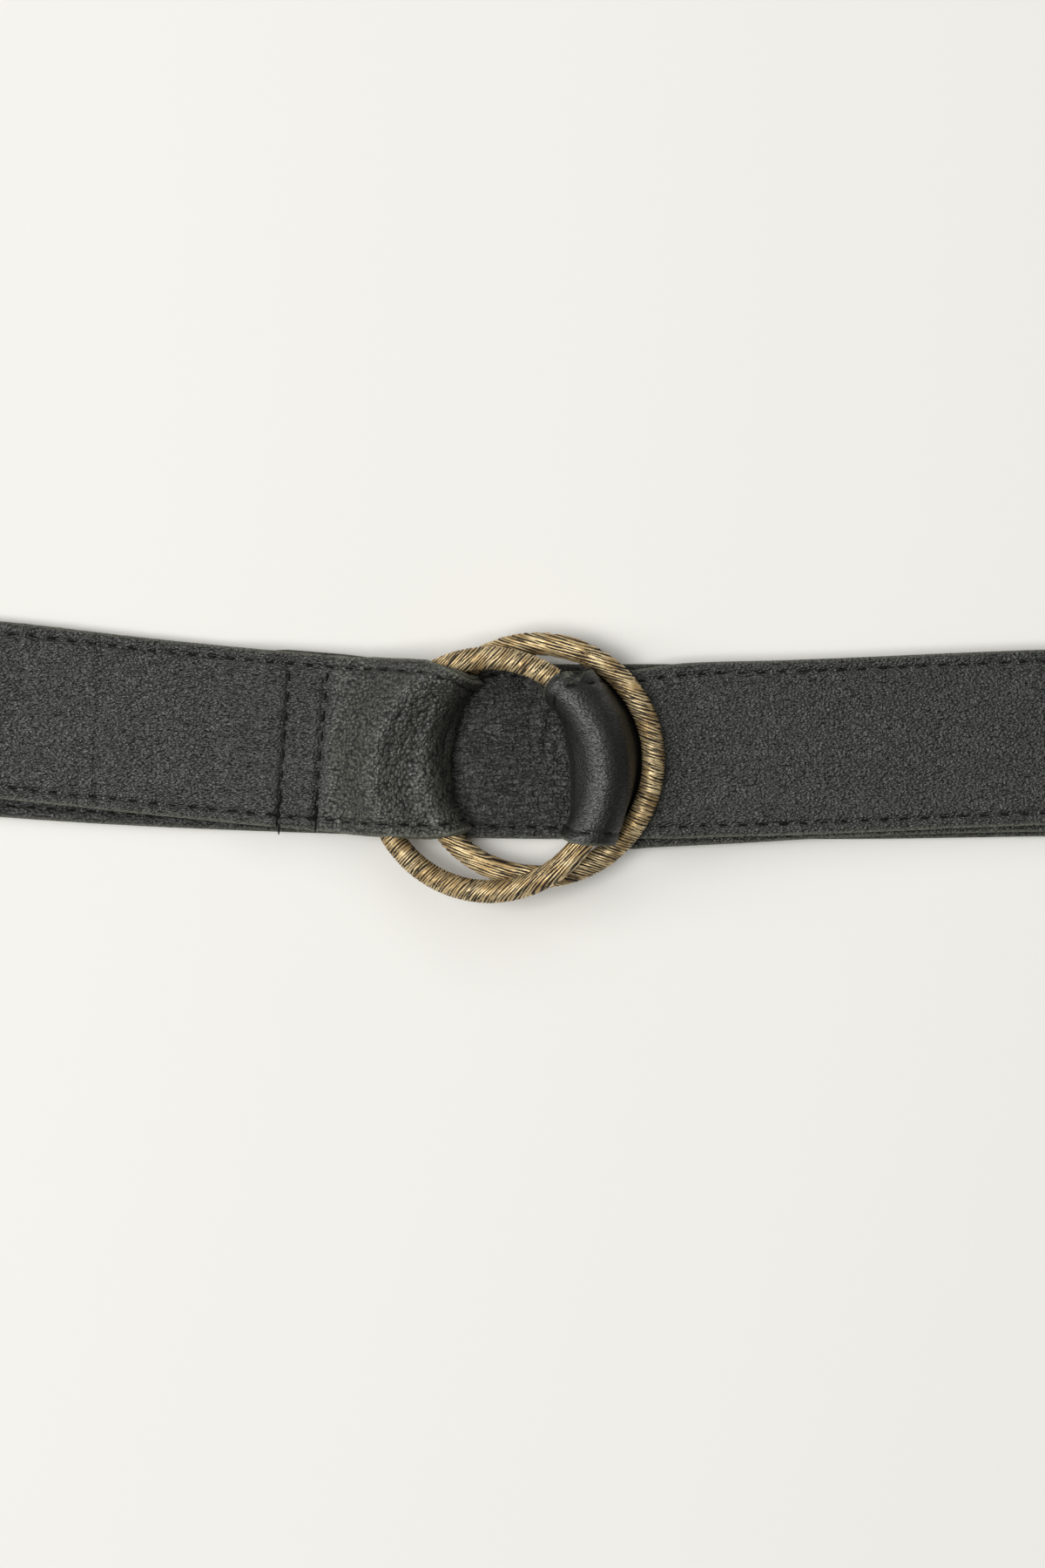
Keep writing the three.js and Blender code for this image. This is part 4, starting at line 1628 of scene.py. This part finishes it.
        # The lining's floor run and drop: rougher, more creased and painted darker as painted
        # shade.
        dull_and_shaded = self.form.within(Stretch.FLOOR, Stretch.DROP) * float(self.side is Side.LINING)
        keep_mark(mesh, "dull_and_shaded", (dull_and_shaded + 0 * self.form.points[..., 0])[kept][i, j])
        mesh.update()
        if self.faces_wrong(mesh, kept[i], j):
            mesh.flip_normals()
        mesh.materials.append(leather)
        mesh.materials.append(edge)
        self.thicken(piece)
        bpy.ops.object.select_all(action="DESELECT")
        return piece

    def faces_wrong(self, mesh: bpy.types.Mesh, i: np.ndarray, j: np.ndarray) -> bool:
        """Whether the grid's faces point into the strap.

        Args:
            mesh: The grid.
            i: Section of each of its points.
            j: Station of each of its points.

        Returns:
            True where the normals need a flip.
        """
        face = mesh.polygons[len(mesh.polygons) // 2]
        first = face.vertices[0]
        out = self.form.outward[i[first], j[first]] * self.side.value
        return float(np.dot(np.array(face.normal), out)) < 0

    def thicken(self, piece: bpy.types.Object) -> None:
        """Gives the skin its thickness and softens its cut edges.

        Args:
            piece: The piece.
        """
        wall = piece.modifiers.new("wall", "SOLIDIFY")
        wall.thickness = 0.93 * self.form.sizes.layer * MM
        wall.offset = -1.0
        wall.use_even_offset = False
        wall.material_offset_rim = 1
        soft = piece.modifiers.new("soft_edge", "BEVEL")
        soft.width = 0.18 * MM
        soft.segments = 2
        soft.limit_method = "ANGLE"
        soft.angle_limit = math.radians(60)
        apply_all(piece)
        clear_selection()
        piece.select_set(True)
        bpy.context.view_layer.objects.active = piece
        bpy.ops.object.shade_smooth_by_angle(angle=math.radians(50))


@dataclass
class EngravedRing:
    """A round ring of round wire, engraved with long irregular strokes."""

    name: str
    node: str
    place: RingPlace
    origin: Origin
    stroke_angle: float
    seed: int
    pitch: float = 0.58
    depth: float = 0.2
    round_count: int = 960
    wire_count: int = 100

    def strokes(self, points: np.ndarray) -> np.ndarray:
        """How deep the engraving is, from 0 on a ridge to 1 in a groove.

        Args:
            points: Points on the plain wire, in millimetres from the ring's middle.

        Returns:
            The depth at each point.
        """
        angle = math.radians(self.stroke_angle)
        along = points[:, 0] * math.cos(angle) + points[:, 1] * math.sin(angle)
        cross = -points[:, 0] * math.sin(angle) + points[:, 1] * math.cos(angle)
        z = points[:, 2]
        sway = Marble(self.seed).at(along / 30, cross / 22, z / 12)
        bend = Marble(self.seed + 4).at(along / 8, cross / 4, z / 6)
        slip = Marble(self.seed + 1).at(along / 7.0, cross / 1.1, z / 6)
        turn = (cross + 1.2 * sway + 0.22 * bend) / self.pitch + 0.42 * slip
        wave = 0.5 + 0.5 * np.cos(math.tau * turn)
        weight = 1.0 + 0.65 * Marble(self.seed + 2).at(along / 4.2, cross / 0.6, z / 4)
        thin = Marble(self.seed + 3).at(cross / 0.4, along / 4.0, z / 4)
        return smooth(0.25, 1.05, wave * weight + 0.3 * thin)

    def build(self, brass: bpy.types.Material) -> bpy.types.Object:
        """Builds the ring.

        Args:
            brass: Its material.

        Returns:
            The finished piece.
        """
        clear_selection()
        bpy.ops.mesh.primitive_grid_add(
            x_subdivisions=self.round_count, y_subdivisions=self.wire_count, size=2.0
        )
        piece = bpy.context.active_object
        piece.name = self.name
        mesh = piece.data
        flat = np.empty(len(mesh.vertices) * 3)
        mesh.vertices.foreach_get("co", flat)
        flat = flat.reshape(-1, 3)
        way, turn = (flat[:, 0] + 1) * math.pi, (1 - flat[:, 1]) * math.pi
        spoke = np.stack([np.cos(way), np.sin(way), 0 * way], -1)
        core = spoke * self.place.radius
        out = spoke * np.cos(turn)[:, None] + np.sin(turn)[:, None] * np.array([0.0, 0.0, 1.0])
        points = core + out * (self.place.wire / 2)
        groove = self.strokes(points)
        lump = Marble(self.seed + 5).at(points[:, 0] / 6, points[:, 1] / 6, points[:, 2] / 6)
        away = self.place.wire / 2 + 0.04 - self.depth * groove + 0.05 * lump
        points = core + out * away[:, None]
        mesh.vertices.foreach_set("co", self.origin.metres(self.lie(points)).ravel())
        keep_mark(mesh, "groove", groove)
        mesh.update()
        mesh.materials.append(brass)
        bpy.ops.object.mode_set(mode="EDIT")
        bpy.ops.mesh.select_all(action="SELECT")
        bpy.ops.mesh.remove_doubles(threshold=1e-6)
        bpy.ops.mesh.normals_make_consistent(inside=False)
        bpy.ops.object.mode_set(mode="OBJECT")
        bpy.ops.object.shade_smooth()
        return piece

    def lie(self, points: np.ndarray) -> np.ndarray:
        """Tilts the ring and puts it where it lies.

        Args:
            points: Points of a level ring round zero, in millimetres.

        Returns:
            The points in the ring's place.
        """
        up = np.array([-self.place.rise_x, -self.place.rise_y, 1.0])
        up = up / np.linalg.norm(up)
        axis = np.cross([0.0, 0.0, 1.0], up)
        sine, cosine = float(np.linalg.norm(axis)), float(up[2])
        axis = axis / sine
        turned = (
            points * cosine
            + np.cross(axis, points) * sine
            + np.outer(points @ axis, axis) * (1 - cosine)
        )
        return turned + np.array([self.place.x, self.place.y, self.place.z])


@dataclass
class Stitching:
    """Rows of thread sunk into the leather."""

    form: StrapForm
    origin: Origin
    length: float = 2.9
    gauge: float = 0.46

    def pattern(self) -> tuple[np.ndarray, list[tuple[int, ...]]]:
        """One stitch along X: a short strand that dips into the leather at both ends.

        Returns:
            The strand's points and its faces.
        """
        clear_selection()
        bpy.ops.mesh.primitive_uv_sphere_add(segments=8, ring_count=5, radius=0.5)
        seed = bpy.context.active_object
        mesh = seed.data
        points = np.array([tuple(v.co) for v in mesh.vertices])
        faces = [tuple(p.vertices) for p in mesh.polygons]
        bpy.data.objects.remove(seed)
        ball = points[:, [2, 0, 1]]
        along = np.sign(ball[:, 0]) * np.abs(ball[:, 0] * 2) ** 0.75 / 2
        points = np.stack(
            [along * self.length, ball[:, 1] * self.gauge, ball[:, 2] * self.gauge], -1
        )
        points[:, 2] -= 0.42 * (2 * along) ** 4
        return points, faces

    def sew(
        self,
        name: str,
        places: np.ndarray,
        ways: np.ndarray,
        ups: np.ndarray,
        thread: bpy.types.Material,
    ) -> bpy.types.Object:
        """Copies the stitch to many places as one piece.

        Args:
            name: The piece's name.
            places: Where each stitch sits, in millimetres.
            ways: Which way each stitch runs.
            ups: Which way is out of the leather at each stitch.
            thread: The material.

        Returns:
            The finished piece.
        """
        points, faces = self.pattern()
        side = np.cross(ups, ways)
        rng = np.random.default_rng(len(places))
        size = 1 + 0.12 * rng.uniform(-1, 1, (len(places), 1, 1))
        turn = 0.06 * rng.uniform(-1, 1, (len(places), 1))
        ways = ways + side * turn
        local = (
            points[None, :, 0:1] * ways[:, None, :] * size
            + points[None, :, 1:2] * side[:, None, :]
            + points[None, :, 2:3] * ups[:, None, :]
        )
        world = self.origin.metres((local + places[:, None, :]).reshape(-1, 3))
        world[:, 2] = np.maximum(world[:, 2], THREAD_CLEAR_MM * MM)
        count = len(points)
        ring = [tuple(k + n * count for k in face) for n in range(len(places)) for face in faces]
        mesh = bpy.data.meshes.new(name)
        mesh.from_pydata(world.tolist(), [], ring)
        mesh.update()
        mesh.materials.append(thread)
        piece = bpy.data.objects.new(name, mesh)
        bpy.context.scene.collection.objects.link(piece)
        mesh.polygons.foreach_set("use_smooth", [True] * len(mesh.polygons))
        return piece

    def edge_places(self, layer: LeatherLayer, station: int) -> Section:
        """Where the edge stitches of one row sit on a layer.

        Args:
            layer: The layer.
            station: The station that the row follows.

        Returns:
            Places, ways and outward directions.
        """
        surface = layer.surface()[:, station]
        out = self.form.outward[:, station] * layer.side.value
        travel = self.form.travel(station)
        pitch = self.form.sizes.stitch_pitch
        marks = np.arange(pitch / 2, travel[-1] - pitch / 2, pitch)
        at = np.stack([np.interp(marks, travel, surface[:, k]) for k in range(3)], -1)
        ups = np.stack([np.interp(marks, travel, out[:, k]) for k in range(3)], -1)
        before = np.stack([np.interp(marks - 1, travel, surface[:, k]) for k in range(3)], -1)
        after = np.stack([np.interp(marks + 1, travel, surface[:, k]) for k in range(3)], -1)
        ways = (after - before) / np.linalg.norm(after - before, axis=-1, keepdims=True)
        ups = ups - ways * np.sum(ups * ways, axis=-1, keepdims=True)
        ups = ups / np.linalg.norm(ups, axis=-1, keepdims=True)
        sunk = self.form.within(Stretch.FLOOR)[:, 0] if layer.side is Side.FACE else 0.0
        lift = 0.06 - 0.4 * np.interp(marks, travel, sunk + 0 * travel)
        return at + ups * lift[:, None], ways, ups

    def edges(
        self, layer: LeatherLayer, name: str, thread: bpy.types.Material
    ) -> bpy.types.Object:
        """Both edge rows of one layer.

        Args:
            layer: The layer.
            name: The piece's name.
            thread: The material.

        Returns:
            The finished piece.
        """
        rows = (layer.relief.low_row, layer.relief.high_row)
        parts = [self.edge_places(layer, row) for row in rows]
        joined = [np.concatenate([p[k] for p in parts]) for k in range(3)]
        return self.sew(name, joined[0], joined[1], joined[2], thread)

    def crosses(
        self, layer: LeatherLayer, name: str, thread: bpy.types.Material
    ) -> bpy.types.Object:
        """The two rows sewn across the loop.

        Args:
            layer: The face layer.
            name: The piece's name.
            thread: The material.

        Returns:
            The finished piece.
        """
        on_top = np.isin(self.form.zones, [Stretch.LOOP.value, Stretch.LEFT.value])
        cloud = layer.surface()[on_top].reshape(-1, 3)
        places, ways = [], []
        for top, foot in CROSS_ROWS:
            run = np.array(foot) - np.array(top)
            length = float(np.hypot(*run))
            regular = np.arange(1.6, length - 0.6, CROSS_PITCH_MM)
            marks = [(float(mark), 0.0) for mark in regular]
            marks += [(length - gone, side) for gone, side in BUNCHED]
            for mark, side in marks:
                spot = np.array(top) + run * (mark / length) + np.array([side, 0.0])
                near = np.argmin(np.hypot(cloud[:, 0] - spot[0], cloud[:, 1] - spot[1]))
                places.append([spot[0], spot[1], cloud[near, 2] + 0.1])
                ways.append([run[0] / length, run[1] / length, 0.0])
        ups = np.tile([0.0, 0.0, 1.0], (len(places), 1))
        return self.sew(name, np.array(places), np.array(ways), ups, thread)


# Studio


@dataclass
class Studio:
    """Floor, soft lights and the overhead camera."""

    origin: Origin
    pixel: float = 0.19
    picture: tuple[int, int] = (1200, 1800)
    ring_at: tuple[float, float] = (561.2, 889.5)
    distance: float = 1.7
    reference_height: float = 0.010
    sensor: float = 36.0
    warmth: Row = (1.0, 0.995, 0.95)

    def spot(self, px: float, py: float) -> tuple[float, float]:
        """A pixel of the portrait as a place on the floor, in metres.

        Args:
            px: Pixels from the left.
            py: Pixels from the top.

        Returns:
            X and Y of the place.
        """
        x = (px - self.ring_at[0]) * self.pixel * MM + self.origin.x
        y = (self.ring_at[1] - py) * self.pixel * MM + self.origin.y
        return x, y

    def floor(self) -> bpy.types.Object:
        """The plain pale floor.

        Returns:
            The floor.
        """
        clear_selection()
        bpy.ops.mesh.primitive_plane_add(size=6.0, location=(0, 0, 0))
        floor = bpy.context.active_object
        floor.name = "floor"
        floor.data.materials.append(PalePaper().make())
        return floor

    def camera(self) -> None:
        """The camera, straight above the belt."""
        wide, tall = self.picture
        x, y = self.spot(wide / 2, tall / 2)
        data = bpy.data.cameras.new("portrait")
        data.sensor_width = self.sensor
        rise = self.distance - self.reference_height
        data.lens = self.sensor * rise / (tall * self.pixel * MM)
        data.clip_end = 20
        view = bpy.data.objects.new("portrait", data)
        view.location = (x, y, self.distance)
        bpy.context.scene.collection.objects.link(view)
        bpy.context.scene.camera = view

    def light(self, name: str, place: Row, aim: Row, size: float, power: float) -> None:
        """A square soft light aimed at a point.

        Args:
            name: The light's name.
            place: Where it hangs, in metres.
            aim: The point it shines at.
            size: Its side, in metres.
            power: Its power, in watts.
        """
        data = bpy.data.lights.new(name, "AREA")
        data.size = size
        data.energy = power
        data.color = self.warmth
        lamp = bpy.data.objects.new(name, data)
        lamp.location = place
        way = np.array(aim) - np.array(place)
        pitch = math.atan2(math.hypot(way[0], way[1]), -way[2])
        lamp.rotation_euler = (pitch, 0.0, math.atan2(way[1], way[0]) - math.pi / 2)
        bpy.context.scene.collection.objects.link(lamp)

    def lights(self) -> None:
        """Soft light from the upper left with a wide fill."""
        self.light("key", (-0.71, -0.2, 2.38), (0, 0, 0), 1.2, 46.0)
        self.light("side", (-1.7, 0.15, 1.05), (0, 0, 0), 0.9, 13.0)
        self.light("fill", (0.3, 1.3, 2.0), (0, 0, 0), 2.0, 16.0)
        world = bpy.data.worlds.new("soft_room")
        world.use_nodes = True
        room = world.node_tree.nodes["Background"]
        room.inputs["Color"].default_value = tone(242, 242, 237)
        room.inputs["Strength"].default_value = 0.1
        bpy.context.scene.world = world
        bpy.context.scene.view_settings.view_transform = "Standard"


@dataclass
class Belt:
    """The whole belt: its two leather layers, its rings and its thread."""

    origin: Origin

    def build(self) -> list[bpy.types.Object]:
        """Builds every piece and hides the solids that each takes the place of.

        Returns:
            The pieces.
        """
        form = StrapForm()
        relief = Relief(form)
        edge = CutEdge().make()
        thread = DarkThread().make()
        shared = (form, relief, self.origin)
        face = LeatherLayer(Side.FACE, *shared, "face_skin", "strap_face", "face_leather")
        lining = LeatherLayer(
            Side.LINING, *shared, "lining_skin", "strap_lining", "lining_leather"
        )
        # Creases painted darker as painted shade; bold paints the face's coarse loop lighter as a
        # painted highlight.
        face_leather = Pebble(
            name="face_pebble",
            coarse_mm=0.78,
            fine_mm=0.46,
            light=tone(37, 37, 33),
            dark=tone(8, 8, 7),
            depth_mm=0.28,
            rough=0.28,
            sheen=0.58,
            bold=2.3,
        ).make()
        lining_leather = Pebble(
            name="lining_pebble",
            coarse_mm=0.75,
            fine_mm=0.46,
            light=tone(35, 36, 32),
            dark=tone(9, 9, 8),
            depth_mm=0.28,
            rough=0.27,
            sheen=0.54,
        ).make()
        pieces = []
        for layer, leather in ((face, face_leather), (lining, lining_leather)):
            piece = layer.build(leather, edge)
            self.seat(piece, layer.slot, layer.node)
            pieces.append(piece)
        rings = (
            EngravedRing("front_ring", "ring_front", form.front, self.origin, 46.0, 21),
            EngravedRing("back_ring", "ring_back", form.back, self.origin, -18.0, 41),
        )
        for ring in rings:
            piece = ring.build(AntiqueBrass(ring.name + "_brass", ring.stroke_angle).make())
            self.seat(piece, "ring_brass", ring.node)
            pieces.append(piece)
        sewing = Stitching(form, self.origin)
        for layer, name in ((face, "face_stitches"), (lining, "lining_stitches")):
            piece = sewing.edges(layer, name, thread)
            self.seat(piece, layer.slot)
            pieces.append(piece)
        piece = sewing.crosses(face, "loop_stitches", thread)
        self.seat(piece, face.slot)
        pieces.append(piece)
        return pieces

    def seat(self, piece: bpy.types.Object, slot: str, *nodes: str) -> None:
        """Makes a piece ride with the belt and stand for its solids.

        Args:
            piece: The piece.
            slot: Not used.
            nodes: The solids that it takes the place of.
        """
        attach(piece, "root")
        if nodes:
            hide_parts(*nodes)


def main() -> None:
    """Builds the belt and its studio."""
    logging.basicConfig(level=logging.INFO, format="%(message)s")
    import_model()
    low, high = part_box("ring_front")
    origin = Origin((low[0] + high[0]) / 2, (low[1] + high[1]) / 2)
    for piece in Belt(origin).build():
        LOG.info("%s: %d faces", piece.name, len(piece.data.polygons))
    studio = Studio(origin)
    studio.floor()
    studio.camera()
    studio.lights()


if __name__ == "__main__":
    main()
